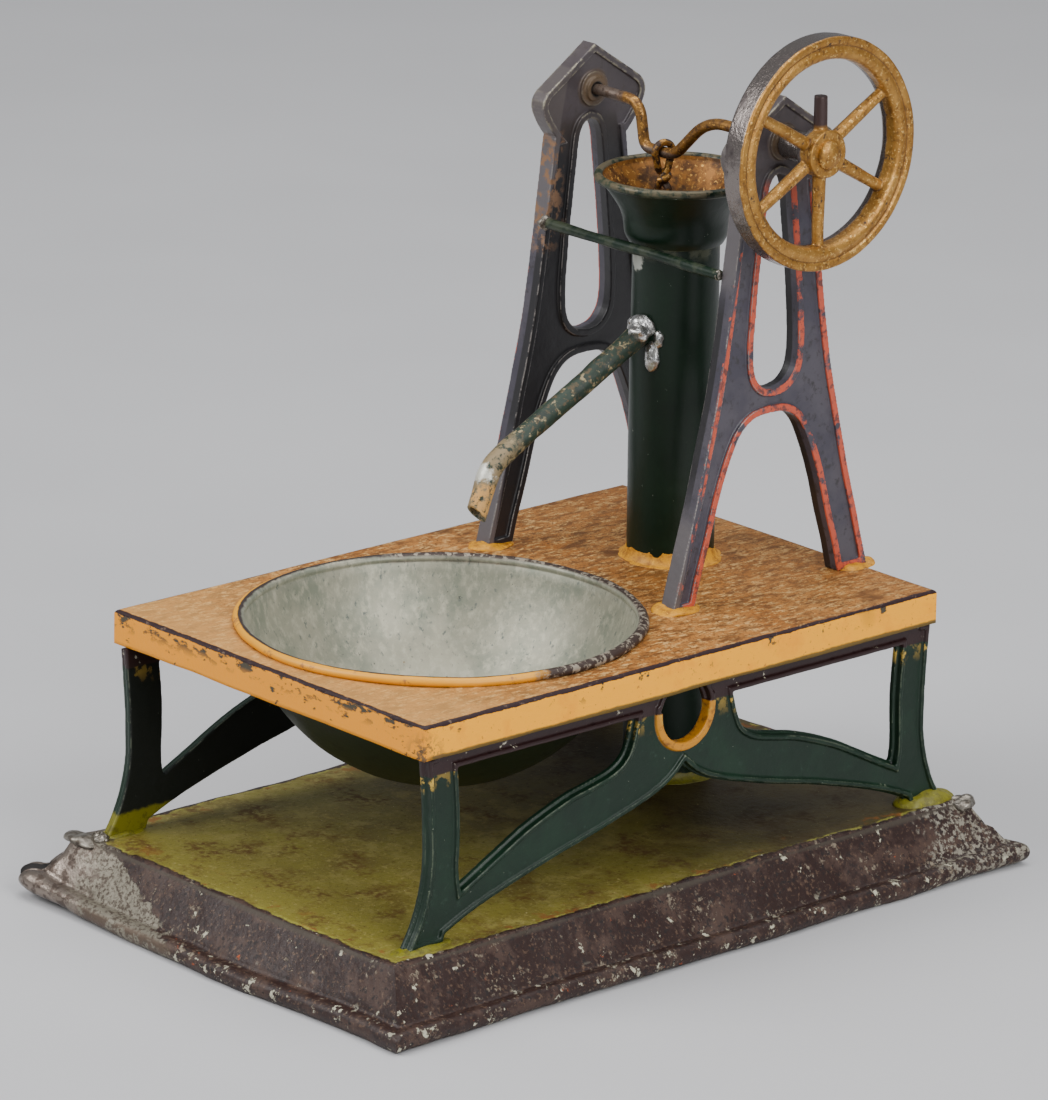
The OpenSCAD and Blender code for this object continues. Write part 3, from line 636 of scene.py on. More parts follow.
def crank_bronze():
    """Bronze paint on the crank wire with small painted highlights, bare at the bearings and on the pin."""
    coat = Coat("crank_bronze", (138, 98, 44), 0.4, 0.6)
    coat.fleck((1.2, 0.46, 0.6, 1, 6), (92, 62, 32), 0.46)
    # painted highlights: small light flecks standing in for glints on the bronze paint
    coat.fleck((0.5, 0.57, 0.64, 2, 4), (208, 154, 74), 0.32)
    bare = coat.any_of(coat.torn(coat.x, 2, 2, 6, left_hi.x + 7.5, left_hi.x + 5.5),
                       coat.rise(PIN_Z + 0.6, PIN_Z + 0.2))
    coat.layer(bare, (118, 104, 94), 0.38, 0.7)
    coat.fleck((1.2, 0.5, 0.58, 5, 6), (84, 66, 54), 0.45, 0.5, on=bare)
    coat.fleck((2.0, 0.6, 0.65, 3, 6), (50, 35, 25), 0.5, 0.4)
    coat.lift(coat.noise(0.6, 4, seed=4), 0.06)
    return coat.done()


def solder(name, colour, mottle, rough, metal):
    """Solder, bare or painted, with a slightly pitted skin."""
    coat = Coat(name, colour, rough, metal)
    coat.fleck((1.3, 0.45, 0.66, 1, 5), mottle, min(rough + 0.12, 0.7))
    coat.fleck((0.6, 0.62, 0.7, 2, 3), tuple(min(int(c * 1.2), 235) for c in colour), rough)
    coat.fleck((2.0, 0.66, 0.7, 3, 5), (96, 86, 72), 0.5)
    coat.lift(coat.noise(0.8, 5, seed=4), 0.1)
    return coat.done()


def plain_metal(name, colour, dark, rough, metal):
    """Metal or leather that shows only inside, with a little tarnish."""
    coat = Coat(name, colour, rough, metal)
    coat.fleck((2, 0.45, 0.65, 1, 5), dark, min(rough + 0.15, 0.9))
    coat.lift(coat.noise(0.5, 4, seed=2), 0.03)
    return coat.done()


MATERIALS = {
    "tray_paint": tray_paint(),
    "table_paint": table_paint(),
    "basin_tin": basin_tin(),
    "leg_green": green_casting(),
    "pump_green": pump_green(),
    "funnel_lining": funnel_lining(),
    "spout_green": spout_green(),
    "frame_slate": slate_casting(),
    "wheel_bronze": bronze("wheel_bronze", 0.62, wheel=True),
    "rod_bronze": bronze("rod_bronze", 0.48),
    "crank_bronze": crank_bronze(),
    "rod_green": pump_green("rod_green"),
    "solder": solder("solder", (206, 206, 204), (140, 136, 130), 0.26, 0.95),
    "tie_solder": solder("tie_solder", (142, 136, 126), (74, 66, 58), 0.35, 0.8),
    "foot_solder": solder("foot_solder", (116, 112, 20), (86, 80, 18), 0.45, 0.0),
    "ochre_solder": solder("ochre_solder", (206, 142, 10), (150, 94, 16), 0.5, 0.0),
    "wire_steel": plain_metal("wire_steel", (128, 122, 116), (84, 66, 52), 0.4, 0.8),
    "piston_brass": plain_metal("piston_brass", (170, 140, 84), (116, 92, 52), 0.35, 0.9),
    "leather": plain_metal("leather", (82, 54, 34), (52, 34, 22), 0.7, 0.0),
    "seat_tin": plain_metal("seat_tin", (140, 140, 134), (96, 92, 84), 0.4, 0.8),
}


# ---- mesh helpers ----

def ripple(point, size, amount, seed=0.0):
    """Smooth random shift of a point, up to about amount."""
    at = point / size + Vector((seed * 7.1, seed * 3.3, seed * 11.7))
    return noise.noise_vector(at) * amount


def make_piece(name, verts, faces, node, slot_name, body="stand", slots=None, face_slots=None,
               sharp=50):
    """Makes a mesh piece from points in millimetres, in place of a CAD node."""
    mesh = bpy.data.meshes.new(name)
    mesh.from_pydata([Vector(v) * MM for v in verts], [], faces)
    for slot in slots or [slot_name]:
        mesh.materials.append(MATERIALS[slot])
    if face_slots:
        mesh.polygons.foreach_set("material_index", face_slots)
    mesh.validate()
    finish_mesh(mesh, sharp)
    obj = bpy.data.objects.new(name, mesh)
    tie(obj, node, body)
    return obj


def finish_mesh(mesh, sharp):
    """Outward normals and smooth shading, apart from edges sharper than that angle."""
    work = bmesh.new()
    work.from_mesh(mesh)
    bmesh.ops.recalc_face_normals(work, faces=work.faces)
    work.to_mesh(mesh)
    work.free()
    mesh.shade_smooth()
    mesh.set_sharp_from_angle(angle=math.radians(sharp))


def thicken(obj, thickness):
    """Gives a sheet its thickness, inward from its skin."""
    solid = obj.modifiers.new("sheet", "SOLIDIFY")
    solid.thickness = thickness * MM
    solid.offset = -1


def drops(name, lumps, node, slot_name, slots=None):
    """Drops of solder as one piece; each has the arguments that lump takes."""
    verts, faces = joined([lump(*settings) for settings in lumps])
    make_piece(name, verts, faces, node, slot_name, slots=slots, sharp=180)


def tie(obj, node, body):
    if obj.name not in bpy.context.scene.collection.objects:
        bpy.context.scene.collection.objects.link(obj)
    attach(obj, body)
    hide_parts(node)


def lathe(profile, segments, centre, axis="z", closed=True):
    """Turns (radius, height) points about an axis through centre; returns verts and faces."""
    verts = []
    for i in range(segments):
        turn = 2 * math.pi * i / segments
        for r, h in profile:
            flat = (r * math.cos(turn), r * math.sin(turn))
            at = (flat[0], flat[1], h) if axis == "z" else (h, flat[0], flat[1])
            verts.append(Vector(at) + Vector(centre))
    count = len(profile)
    faces = []
    for i in range(segments):
        j = (i + 1) % segments
        for k in range(count if closed else count - 1):
            m = (k + 1) % count
            faces.append((i * count + k, j * count + k, j * count + m, i * count + m))
    return verts, faces


def sweep(path, radius, sides=20, closed=False, squash=None):
    """Tube of round section along a path; radius is a number or a function of 0 to 1."""
    verts, faces = [], []
    normal = None
    count = len(path)
    for i, point in enumerate(path):
        before = path[(i - 1) % count] if closed or i > 0 else point
        after = path[(i + 1) % count] if closed or i < count - 1 else point
        along = (after - before).normalized()
        if normal is None:
            normal = along.orthogonal().normalized()
        normal = (normal - along * normal.dot(along)).normalized()
        side = along.cross(normal)
        r = radius(i / (count - 1)) if callable(radius) else radius
        for k in range(sides):
            turn = 2 * math.pi * k / sides
            verts.append(point + normal * (r * math.cos(turn)) + side * (r * math.sin(turn)))
    for i in range(count if closed else count - 1):
        j = (i + 1) % count
        for k in range(sides):
            m = (k + 1) % sides
            faces.append((i * sides + k, i * sides + m, j * sides + m, j * sides + k))
    if not closed:
        faces.append(tuple(range(sides)))
        faces.append(tuple(reversed(range((count - 1) * sides, count * sides))))
    return verts, faces


def smooth_path(points, steps=8):
    """Catmull-Rom curve through points."""
    points = [Vector(p) for p in points]
    result = []
    for i in range(len(points) - 1):
        a, b = points[max(i - 1, 0)], points[i]
        c, d = points[i + 1], points[min(i + 2, len(points) - 1)]
        for k in range(steps):
            t = k / steps
            result.append(0.5 * (2 * b + (c - a) * t + (2 * a - 5 * b + 4 * c - d) * t * t
                                 + (3 * b - a - 3 * c + d) * t ** 3))
    result.append(points[-1])
    return result


def rounded_path(points, radii, steps=8, spacing=1.2):
    """Straight runs joined by bends; radii gives how far each bend starts from its corner."""
    points = [Vector(p) for p in points]
    result = [points[0]]
    for i in range(1, len(points) - 1):
        back = (points[i - 1] - points[i]).normalized() * radii[i - 1]
        ahead = (points[i + 1] - points[i]).normalized() * radii[i - 1]
        start, end = points[i] + back, points[i] + ahead
        result += straight(result[-1], start, spacing)
        for k in range(steps + 1):
            t = k / steps
            result.append(start * (1 - t) ** 2 + points[i] * 2 * t * (1 - t) + end * t * t)
    result += straight(result[-1], points[-1], spacing) + [points[-1]]
    return result


def straight(a, b, spacing):
    """Points between a and b, without the two ends."""
    count = max(int((b - a).length / spacing), 1)
    return [a.lerp(b, k / count) for k in range(1, count)]


def joined(parts):
    """Several (verts, faces) as one."""
    verts, faces = [], []
    for part_verts, part_faces in parts:
        start = len(verts)
        verts += part_verts
        faces += [tuple(start + i for i in face) for face in part_faces]
    return verts, faces


def lump(centre, size, seed, grain=0.25, sink=0.15):
    """Uneven drop of solder; what lies below the centre is pressed flat by sink."""
    work = bmesh.new()
    bmesh.ops.create_icosphere(work, subdivisions=5, radius=1)
    centre, size = Vector(centre), Vector(size)
    least = min(size)
    verts = []
    for v in work.verts:
        p = Vector((v.co.x * size.x, v.co.y * size.y, v.co.z * size.z))
        p += ripple(p, max(size) * 0.8, least * grain * 1.8, seed)
        p += ripple(p, max(size) * 0.3, least * grain * 0.4, seed + 3)
        if p.z < 0:
            p.z *= sink
        verts.append(centre + p)
    faces = [tuple(v.index for v in f.verts) for f in work.faces]
    work.free()
    return verts, faces


def recast(node, body, slot_name, voxel, rounds, grain=0.05):
    """A CAD node's skin again, with softened edges and the uneven face of a casting."""
    source = frame["nodes"][node]
    obj = bpy.data.objects.new(node + "_cast", source.data.copy())
    bpy.context.scene.collection.objects.link(obj)
    skin = obj.modifiers.new("skin", "REMESH")
    skin.mode = "VOXEL"
    skin.voxel_size = voxel * MM
    worn = obj.modifiers.new("worn", "SMOOTH")
    worn.iterations = rounds
    worn.factor = 0.5
    graph = bpy.context.evaluated_depsgraph_get()
    mesh = bpy.data.meshes.new_from_object(obj.evaluated_get(graph))
    obj.modifiers.clear()
    obj.data = mesh
    for v in mesh.vertices:
        p = v.co / MM
        v.co += ripple(p, 5.0, grain * MM) + ripple(p, 1.4, 0.4 * grain * MM, 2)
    mesh.materials.clear()
    mesh.materials.append(MATERIALS[slot_name])
    mesh.shade_smooth()
    tie(obj, node, body)
    return obj


# ---- tray ----

def folded_sheet(half, spacing, profile):
    """Flat top of a half size, then loops that follow profile: (out x, out y, height)."""
    nx, ny = (max(int(2 * h / spacing), 2) for h in half)
    verts = [Vector((-half[0] + 2 * half[0] * i / nx, -half[1] + 2 * half[1] * j / ny, profile[0][2]))
             for j in range(ny + 1) for i in range(nx + 1)]
    faces = [(j * (nx + 1) + i, j * (nx + 1) + i + 1, (j + 1) * (nx + 1) + i + 1, (j + 1) * (nx + 1) + i)
             for j in range(ny) for i in range(nx)]
    edge = ([j for j in range(nx + 1)] + [(j + 1) * (nx + 1) + nx for j in range(ny)]
            + [ny * (nx + 1) + nx - 1 - i for i in range(nx)]
            + [(ny - 1 - j) * (nx + 1) for j in range(ny - 1)])
    last = edge
    for out_x, out_y, height in profile[1:]:
        ring = []
        for index in edge:
            p = verts[index]
            ring.append(len(verts))
            verts.append(Vector((p.x * (half[0] + out_x) / half[0],
                                 p.y * (half[1] + out_y) / half[1], height)))
        count = len(edge)
        faces += [(last[k], ring[k], ring[(k + 1) % count], last[(k + 1) % count]) for k in range(count)]
        last = ring
    return verts, faces


def near(p, corner, reach):
    """1 at a corner of the tray, falling off smoothly over reach."""
    d = math.hypot(p.x - corner[0], p.y - corner[1]) / reach
    return math.exp(-d * d)


def dent(p):
    """Where a point of the tray goes: a slight wave, one crushed corner and one splayed one."""
    wave = ripple(p, 17, 0.5) + ripple(p, 5, 0.14, 4)
    edge = max(abs(p.x) - TRAY_TOP.x, abs(p.y) - TRAY_TOP.y)
    inward = 0.35 if edge < -1 else 1.0
    q = p + wave * inward
    crushed = near(p, (-CURL.x, -CURL.y), 11)
    side = 1.0 if edge > 0 else 0.3
    q += Vector((0.2, -0.9, 1.5)) * crushed * side + ripple(p, 7, 0.7, 9) * crushed
    if edge > 0.6 and crushed > 0.05:
        apart = (p.x + CURL.x) - (p.y + CURL.y)
        open_seam = math.exp(-(apart / 0.9) ** 2) * min((edge - 0.6) / 1.5, 1.0)
        q += Vector((0.9, 0.9, -0.7)) * open_seam
        q.z += 0.7 * math.exp(-((apart + 2.0) / 1.3) ** 2) * crushed
    splayed = near(p, (CURL.x, CURL.y), 6)
    q += Vector((0.7, 1.1, 0.5)) * splayed * (1.0 if edge > 3 else 0.2)
    low = -p.y - TRAY_TOP.y
    if low > 0:
        q.y -= 1.3 * min(low / 5.0, 1.0) * max(0.0, 1.0 - ((p.x + 6.0) / 40.0) ** 2)
    q.z = max(q.z, 0.0)
    return q


def tray_profile():
    """Top edge, slope, crease and curl of the tray's side."""
    run = Vector((CURL.x - TRAY_TOP.x, CURL.y - TRAY_TOP.y))
    fall = TRAY_Z - CURL.z
    points = [(-0.8, -0.8, TRAY_Z), (-0.25, -0.25, TRAY_Z - 0.05), (0.1, 0.1, TRAY_Z - 0.4)]
    for k in range(1, 10):
        t = 0.06 + 0.7 * k / 9
        points.append((run.x * t, run.y * t, TRAY_Z - fall * t))
    points.append((run.x * 0.79, run.y * 0.79, CURL.z + 1.75))
    for k in range(19):
        turn = math.radians(112 - 300 * k / 18)
        out = CURL_R * math.cos(turn)
        points.append((run.x + out, run.y + out, max(CURL.z + CURL_R * math.sin(turn), 0.0)))
    return points


def base_tray():
    half = (TRAY_TOP.x - 0.8, TRAY_TOP.y - 0.8)
    profile = [(a + 0.8, b + 0.8, z) for a, b, z in tray_profile()]
    verts, faces = folded_sheet(half, 1.1, profile)
    obj = make_piece("tray", [dent(v) for v in verts], faces, "base_tray", "tray_paint", sharp=60)
    thicken(obj, SHEET)


def base_edge_wire():
    path = []
    corners = [(1, -1), (1, 1), (-1, 1), (-1, -1)]
    for (ax, ay), (bx, by) in zip(corners, corners[1:] + corners[:1]):
        a = Vector((ax * CURL.x, ay * CURL.y, CURL.z))
        b = Vector((bx * CURL.x, by * CURL.y, CURL.z))
        path += [a.lerp(b, k / 60) for k in range(60)]
    verts, faces = sweep(path, WIRE_R - 0.05, 12, closed=True)
    make_piece("edge_wire", [dent(v) for v in verts], faces, "base_edge_wire", "wire_steel")


def corner_solder():
    right = Vector((TRAY_TOP.x - 0.4, TRAY_TOP.y - 0.6, TRAY_Z - 0.9))
    left = dent(Vector((-TRAY_TOP.x + 1.0, -TRAY_TOP.y - 0.2, TRAY_Z - 1.0)))
    beside = left + Vector((3.0, 1.6, 0.5))
    lumps = [(right, (2.6, 2.3, 1.5), 1, 0.25, 0.6), (left, (3.4, 2.2, 1.1), 2, 0.3, 0.8),
             (beside, (1.4, 1.2, 1.3), 3, 0.25, 0.8)]
    drops("corner_drops", lumps, "corner_solder", "solder", ["tie_solder"])


# ---- legs, table and basin ----

def leg_foot_solder():
    feet = [((1, -1), (2.4, 6.4, 0.8)), ((1, 1), (3.4, 6.2, 1.9)), ((-1, -1), (1.9, 4.4, 0.9)),
            ((-1, 1), (3.0, 4.6, 1.4))]
    lumps = []
    for n, ((sx, sy), size) in enumerate(feet):
        shift = LEG_SHIFT_RIGHT if sx > 0 else LEG_SHIFT_LEFT
        at = (sx * (leg_hi.x - 1.2), shift + sy * LEG_FOOT_Y, TRAY_Z - 0.1)
        lumps.append((at, size, 5 + n, 0.3))
    drops("leg_feet_drops", lumps, "leg_foot_solder", "foot_solder")


def table_top():
    fold = 0.7
    half = (table_hi.x - fold, table_hi.y - fold)
    profile = [(0, 0, TABLE_Z)]
    for k in range(1, 6):
        turn = math.radians(18 * k)
        profile.append((fold * math.sin(turn), fold * math.sin(turn), TABLE_Z - fold * (1 - math.cos(turn))))
    depth = TABLE_Z - table_lo.z
    for k in range(1, 9):
        profile.append((fold, fold, TABLE_Z - fold - (depth - fold) * k / 8))
    verts, faces = folded_sheet(half, 1.0, profile)
    hole = RIM_R - 0.2
    gone = set()
    middle = Vector((BASIN.x, BASIN.y))
    for i, v in enumerate(verts):
        away = Vector((v.x, v.y)) - middle
        if away.length < hole - 0.6:
            gone.add(i)
        elif away.length < hole + 0.5:
            flat = middle + away.normalized() * hole
            verts[i] = Vector((flat.x, flat.y, v.z))
    faces = [f for f in faces if not gone.intersection(f)]
    bent = []
    for v in verts:
        wave = ripple(v, 26, 0.3, 2) + ripple(v, 7, 0.1, 3)
        if v.z > TABLE_Z - 0.3:
            wave *= 0.5
        bent.append(v + wave)
    used = sorted({i for f in faces for i in f})
    place = {old: new for new, old in enumerate(used)}
    obj = make_piece("table", [bent[i] for i in used], [tuple(place[i] for i in f) for f in faces],
                     "table_top", "table_paint", sharp=60)
    thicken(obj, SHEET)


def basin():
    inner_r = BOWL_R - 0.6
    steep = math.acos((BOWL_Z - TABLE_Z) / inner_r)
    profile = []
    for k in range(33):
        turn = steep * max(k, 0.02) / 32
        profile.append((inner_r * math.sin(turn), BOWL_Z - inner_r * math.cos(turn)))
    start = math.radians(215)
    for k in range(14):
        turn = start - math.radians(250) * k / 13
        profile.append((RIM_R + RIM_ROLL * math.cos(turn), RIM_Z - 0.15 + 0.8 * math.sin(turn)))
    for k in range(32, -1, -1):
        turn = (steep - 0.02) * max(k, 0.02) / 32
        profile.append((BOWL_R * math.sin(turn), BOWL_Z - BOWL_R * math.cos(turn)))
    verts, faces = lathe(profile, 180, (BASIN.x, BASIN.y, 0), closed=False)
    bent = [v + ripple(Vector((v.x, v.y, 0)), 14, 0.22, 5) + ripple(Vector((v.x, v.y, 0)), 5, 0.07, 6)
            for v in verts]
    make_piece("bowl", bent, faces, "basin", "basin_tin", sharp=70)


# ---- pump ----

def pump_barrel():
    profile = [(BARREL_R, TRAY_Z + (FUNNEL_Z - TRAY_Z) * k / 60) for k in range(61)]
    profile += [(BORE_R, FUNNEL_Z), (BORE_R, TRAY_Z)]
    verts, faces = lathe(profile, 72, (PUMP.x, PUMP.y, 0))
    bent = []
    for v in verts:
        away = math.hypot(v.x - PUMP.x, v.y - PUMP.y)
        bent.append(v + ripple(v, 16, 0.14, 7) if away > BARREL_R - 0.1 else v.copy())
    for v in bent:
        v.z = min(max(v.z, TRAY_Z), FUNNEL_Z)
    make_piece("barrel", bent, faces, "pump_barrel", "pump_green")


def pump_funnel():
    wall = 0.65
    out = smooth_path([(8.0, 0, 0), (8.65, 1.3, 0), (8.9, 3, 0), (9.2, 4.5, 0), (10, 6.3, 0),
                       (11.4, 8.5, 0), (12.9, 10.6, 0)], 6)
    outer = [(p.x, p.y) for p in out]
    lip = [(13 + 0.75 * math.cos(t), 10.9 + 0.75 * math.sin(t))
           for t in (math.radians(-70 + 230 * k / 14) for k in range(15))]
    inner = [(max(r - wall, BORE_R), h) for r, h in reversed(outer)]
    profile = outer + lip + inner
    verts, faces = lathe(profile, 96, (PUMP.x, PUMP.y, FUNNEL_Z))
    first_inner = len(outer) + len(lip) - 1
    face_slots = [1 if k >= first_inner else 0 for _ in range(96) for k in range(len(profile))]
    bent = [v + ripple(v, 9, 0.16, 8) for v in verts]
    for v in bent:
        v.z = max(v.z, FUNNEL_Z)
    make_piece("funnel", bent, faces, "pump_funnel", "pump_green", slots=["pump_green", "funnel_lining"],
               face_slots=face_slots)


def ring_solder(height, rise, spread, seed, name, node, slot_name):
    """Uneven fillet of solder round the barrel."""
    segments, steps = 96, 8
    verts = []
    for i in range(segments):
        turn = 2 * math.pi * i / segments
        way = Vector((math.cos(turn), math.sin(turn), 0))
        wobble = noise.noise(way * 1.6 + Vector((seed, 0, 0)))
        out, up = spread * (1 + 0.35 * wobble), rise * (1 + 0.45 * wobble)
        for k in range(steps + 1):
            t = math.pi / 2 * k / steps
            r = BARREL_R - 0.1 + out * (1 - math.sin(t))
            verts.append(Vector((PUMP.x, PUMP.y, height)) + way * r + UP * (up * (1 - math.cos(t))))
    count = steps + 1
    faces = [(i * count + k, (i + 1) % segments * count + k, (i + 1) % segments * count + k + 1,
              i * count + k + 1) for i in range(segments) for k in range(steps)]
    bent = [v + ripple(v, 1.6, 0.12, seed) for v in verts]
    obj = make_piece(name, bent, faces, node, slot_name)
    thicken(obj, FILLET_SKIN)


def spout():
    start = Vector((PUMP.x, PUMP.y - BARREL_R + 0.6, PORT_Z + 0.35))
    end = Vector((PUMP.x, SPOUT_BEND.y - 3.1, spout_lo.z + 0.9))
    path = rounded_path([start, SPOUT_BEND, end], [3.4], 10, 0.9)
    sides = 28
    outer = sweep(path, lambda t: SPOUT_R * (1 + 0.02 * math.sin(9 * t)), sides)
    inner = sweep(path, 1.4, sides)
    cut = (path[-1] - path[-2]).normalized()
    slant = Vector((0, 0.75, 0.45))
    for verts in (outer[0], inner[0]):
        for i in range(len(verts) - sides, len(verts)):
            verts[i] = verts[i] + cut * (verts[i] - path[-1]).dot(slant)
    outer_verts, outer_faces = outer[0], outer[1][:-1]
    inner_verts, inner_faces = inner[0], inner[1][:-1]
    verts, faces = joined([(outer_verts, outer_faces), (inner_verts, inner_faces)])
    last, shift = len(outer_verts) - sides, len(outer_verts)
    for k in range(sides):
        m = (k + 1) % sides
        faces.append((last + k, last + m, shift + last + m, shift + last + k))
    bent = [v + ripple(v, 4, 0.16, 3) + ripple(v, 1.5, 0.05, 4) for v in verts]
    make_piece("spout_tube", bent, faces, "spout", "spout_green", sharp=60)


def spout_solder():
    front = PUMP.y - BARREL_R
    lumps = [((PUMP.x + 0.1, front - 0.5, PORT_Z + 0.9), (2.7, 2.0, 2.3), 31),
             ((PUMP.x + 0.9, front - 1.6, PORT_Z + 0.6), (1.9, 1.6, 1.7), 32),
             ((PUMP.x + 2.2, front + 0.5, PORT_Z - 3.6), (1.6, 1.1, 2.6), 33),
             ((PUMP.x + 3.2, front + 0.9, PORT_Z - 0.6), (1.0, 0.8, 1.5), 34)]
    verts, faces = joined([lump(at, size, seed, 0.22, 1.0) for at, size, seed in lumps])
    least = BARREL_R - 0.25
    for v in verts:
        flat = Vector((v.x - PUMP.x, v.y - PUMP.y, 0))
        if flat.length < least:
            v += flat.normalized() * (least - flat.length)
    make_piece("spout_drops", verts, faces, "spout_solder", "solder", sharp=180)


# ---- side frames ----

def a_frame_solder():
    left, right = (left_lo.x + left_hi.x) / 2, (right_lo.x + right_hi.x) / 2
    feet = [(left, -1), (left, 1), (right, -1), (right, 1)]
    lumps = [((x, PUMP.y + s * FRAME_FOOT_Y, TABLE_Z - 0.15), (3.3, 4.4, 1.0), 41 + n, 0.35)
             for n, (x, s) in enumerate(feet)]
    drops("frame_feet_drops", lumps, "a_frame_solder", "ochre_solder")


def tie_rod():
    y, z = (tie_lo.y + tie_hi.y) / 2, (tie_lo.z + tie_hi.z) / 2
    path = [Vector((tie_lo.x + (tie_hi.x - tie_lo.x) * k / 40, y, z)) for k in range(41)]
    path = [p + ripple(p, 12, 0.25, 6) * (0.2 < k / 40 < 0.8) for k, p in enumerate(path)]
    verts, faces = sweep(path, lambda t: SHAFT_R * (0.93 + 0.05 * math.sin(17 * t)), 20)
    make_piece("tie_wire", verts, faces, "tie_rod", "rod_green")
    lumps = [((tie_lo.x + 0.3, y - 0.3, z), (0.9, 1.3, 1.4), 51, 0.2, 1.0),
             ((tie_hi.x - 0.3, y - 0.1, z), (0.5, 0.8, 0.9), 52, 0.2, 1.0)]
    drops("tie_drops", lumps, "tie_rod_solder", "solder", ["tie_solder"])


# ---- crank and rod ----

def crankshaft():
    def at(x, z):
        return Vector((PUMP.x + x, SHAFT_Y, z))
    corners = [Vector((left_lo.x - 1, SHAFT_Y, SHAFT_Z)), at(-10.4, SHAFT_Z), at(-9, PIN_Z),
               at(-1.6, PIN_Z), at(6.2, SHAFT_Z), Vector((wheel_hi.x - 1, SHAFT_Y, SHAFT_Z))]
    path = rounded_path(corners, [3.0, 1.6, 2.2, 4.4], 10, 0.8)
    verts, faces = sweep(path, SHAFT_R, 20)
    make_piece("crank_wire", verts, faces, "crankshaft", "crank_bronze", "crank", sharp=70)


def hub_dome():
    profile = [(2.45 * math.cos(t), 1.3 * math.sin(t)) for t in (math.pi / 2 * k / 10 for k in range(10))]
    profile = [(2.45, -0.3)] + profile + [(0.02, 1.3)]
    verts, faces = lathe(profile, 48, (HUB_FACE, SHAFT_Y, SHAFT_Z), "x", closed=False)
    bent = [v + ripple(v, 1.6, 0.16, 3) for v in verts]
    make_piece("hub_dome", bent, faces, "shaft_end_solder", "wheel_bronze", "crank")


def connecting_rod():
    eye_r = SHAFT_R + 0.1 + ROD_R
    low_eye = 1.3

    def at(x, y, z):
        return Vector((ROD_X + x, SHAFT_Y + y, z))
    top = [at(0.35 * math.cos(math.radians(a)), eye_r * math.cos(math.radians(a)),
              PIN_Z + eye_r * math.sin(math.radians(a))) for a in range(-40, 221, 12)]
    stem = [at(0, 0, ROD_LOW_Z + low_eye), at(0, 0, PIN_Z - 4.8), at(0.1, -0.2, PIN_Z - 4.0),
            at(0.3, 0.6, PIN_Z - 3.0)]
    tail = [at(-0.35, -0.7, PIN_Z - 3.0), at(-0.4, 0.5, PIN_Z - 3.5), at(0.5, 0.6, PIN_Z - 3.9),
            at(0.9, -0.4, PIN_Z - 4.3), at(0.0, -1.0, PIN_Z - 4.7)]
    wire = smooth_path(stem + top[::3] + tail, 6)
    ring = [at(low_eye * math.cos(math.radians(a)), 0, ROD_LOW_Z + low_eye * math.sin(math.radians(a)))
            for a in range(0, 360, 12)]
    verts, faces = joined([sweep(wire, ROD_R, 16), sweep(ring, ROD_R, 16, closed=True)])
    make_piece("rod_wire", verts, faces, "connecting_rod", "rod_bronze", "rod", sharp=80)


# ---- the camera, the light and the floor ----

def camera():
    """Long lens a little above the table, on the corner between basin end and flywheel side."""
    azimuth, elevation, roll = math.radians(48.362), math.radians(17.469), math.radians(0.766)
    back = Vector((math.sin(azimuth) * math.cos(elevation), -math.cos(azimuth) * math.cos(elevation),
                   math.sin(elevation)))
    side = UP.cross(back).normalized()
    top = back.cross(side)
    side, top = (math.cos(roll) * side + math.sin(roll) * top,
                 math.cos(roll) * top - math.sin(roll) * side)
    data = bpy.data.cameras.new("camera")
    data.lens = 243.95
    data.sensor_width = 36
    obj = bpy.data.objects.new("camera", data)
    bpy.context.scene.collection.objects.link(obj)
    turn = Matrix((side, top, back)).transposed().to_4x4()
    place = Vector((872.45, -776.76, 424.93)) * MM
    obj.matrix_world = Matrix.Translation(place) @ turn
    bpy.context.scene.camera = obj


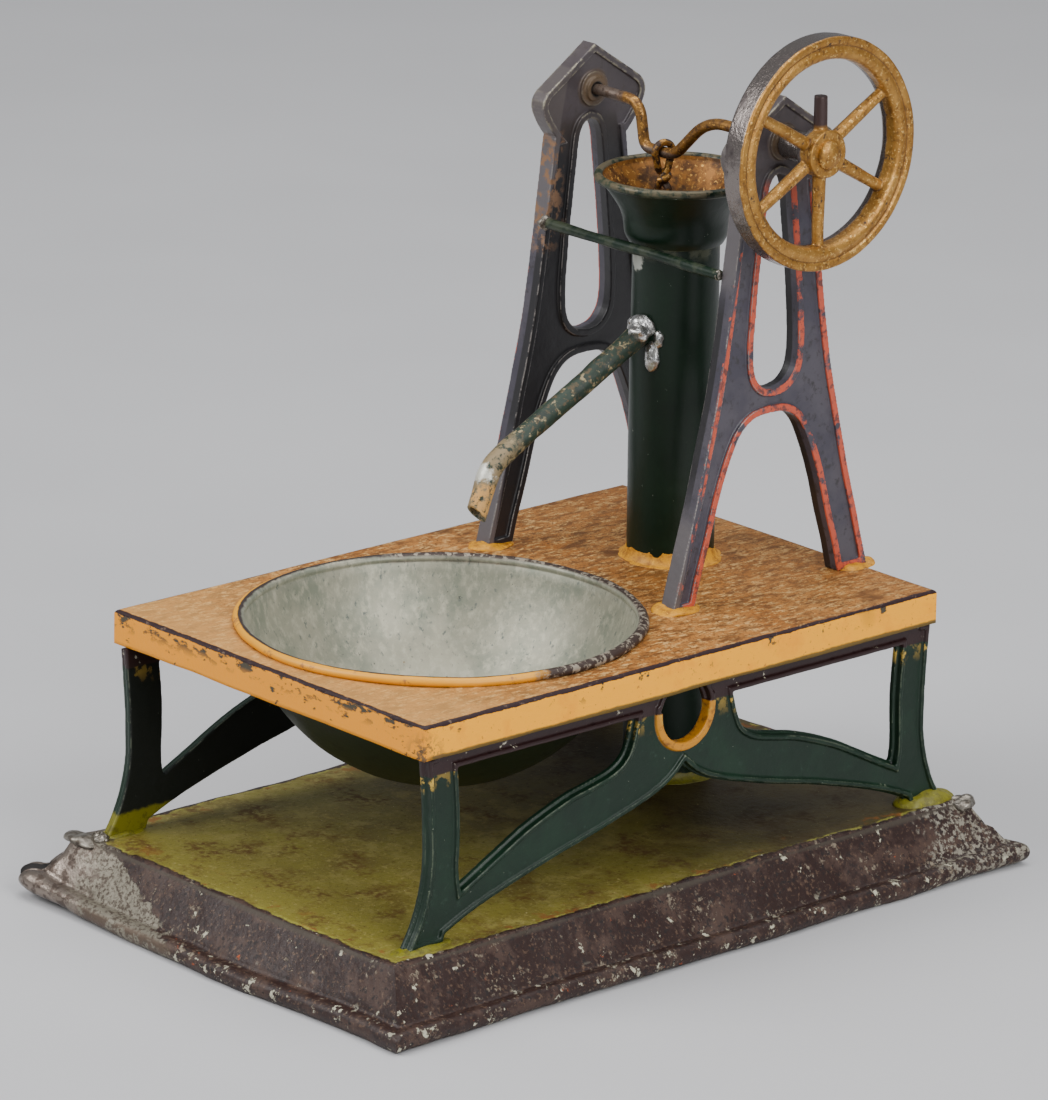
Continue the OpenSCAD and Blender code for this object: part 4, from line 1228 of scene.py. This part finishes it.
def area_light(name, place, aim, size, power, colour=(1, 1, 1)):
    data = bpy.data.lights.new(name, "AREA")
    data.shape = "RECTANGLE"
    data.size, data.size_y = size
    data.energy = power
    data.color = colour
    obj = bpy.data.objects.new(name, data)
    obj.location = place
    obj.rotation_mode = "QUATERNION"
    obj.rotation_quaternion = (Vector(aim) - Vector(place)).to_track_quat("-Z", "Y")
    bpy.context.scene.collection.objects.link(obj)


def studio():
    world = bpy.data.worlds.new("studio")
    world.use_nodes = True
    world.node_tree.nodes["Background"].inputs[0].default_value = (0.86, 0.88, 0.92, 1)
    world.node_tree.nodes["Background"].inputs[1].default_value = 0.3
    bpy.context.scene.world = world
    middle = (0, 0, 0.06)
    area_light("key", (-0.35, -0.8, 0.75), middle, (0.7, 0.7), 11)
    area_light("fill", (0.95, -0.1, 0.55), middle, (0.6, 0.8), 10)
    area_light("top", (0.05, 0.15, 1.0), middle, (0.9, 0.9), 8)


def floor():
    coat = Coat("floor_paper", (186, 186, 188), 0.75)
    coat.fleck((90, 0.4, 0.7, 1, 2), (190, 190, 192))
    mesh = bpy.data.meshes.new("floor")
    reach = 3.0
    mesh.from_pydata([(-reach, -reach, 0), (reach, -reach, 0), (reach, reach, 0), (-reach, reach, 0)], [],
                     [(0, 1, 2, 3)])
    mesh.materials.append(coat.done())
    obj = bpy.data.objects.new("floor", mesh)
    obj.location.z = -0.05 * MM
    bpy.context.scene.collection.objects.link(obj)


def dress_cad():
    """Gives each CAD node that stays in view the material of its slot."""
    slots = {part["node"]: part["material_slot"] for part in frame["record"]["subparts"]}
    for name, obj in frame["nodes"].items():
        obj.data.materials.clear()
        obj.data.materials.append(MATERIALS[slots[name]])


camera()
studio()
floor()
dress_cad()

base_tray()
base_edge_wire()
corner_solder()
for side_name in ("left", "right"):
    recast("leg_frame_" + side_name, "stand", "leg_green", 0.19, 3)
    recast("a_frame_" + side_name, "stand", "frame_slate", 0.17, 2)
leg_foot_solder()
table_top()
basin()
pump_barrel()
pump_funnel()
ring_solder(TRAY_Z, 2.4, 2.0, 3, "barrel_foot_fillet", "barrel_foot_solder", "foot_solder")
ring_solder(TABLE_Z, 2.8, 1.6, 4, "barrel_collar_fillet", "barrel_collar_solder", "ochre_solder")
spout()
spout_solder()
a_frame_solder()
tie_rod()
crankshaft()
recast("flywheel", "crank", "wheel_bronze", 0.17, 3)
hub_dome()
connecting_rod()
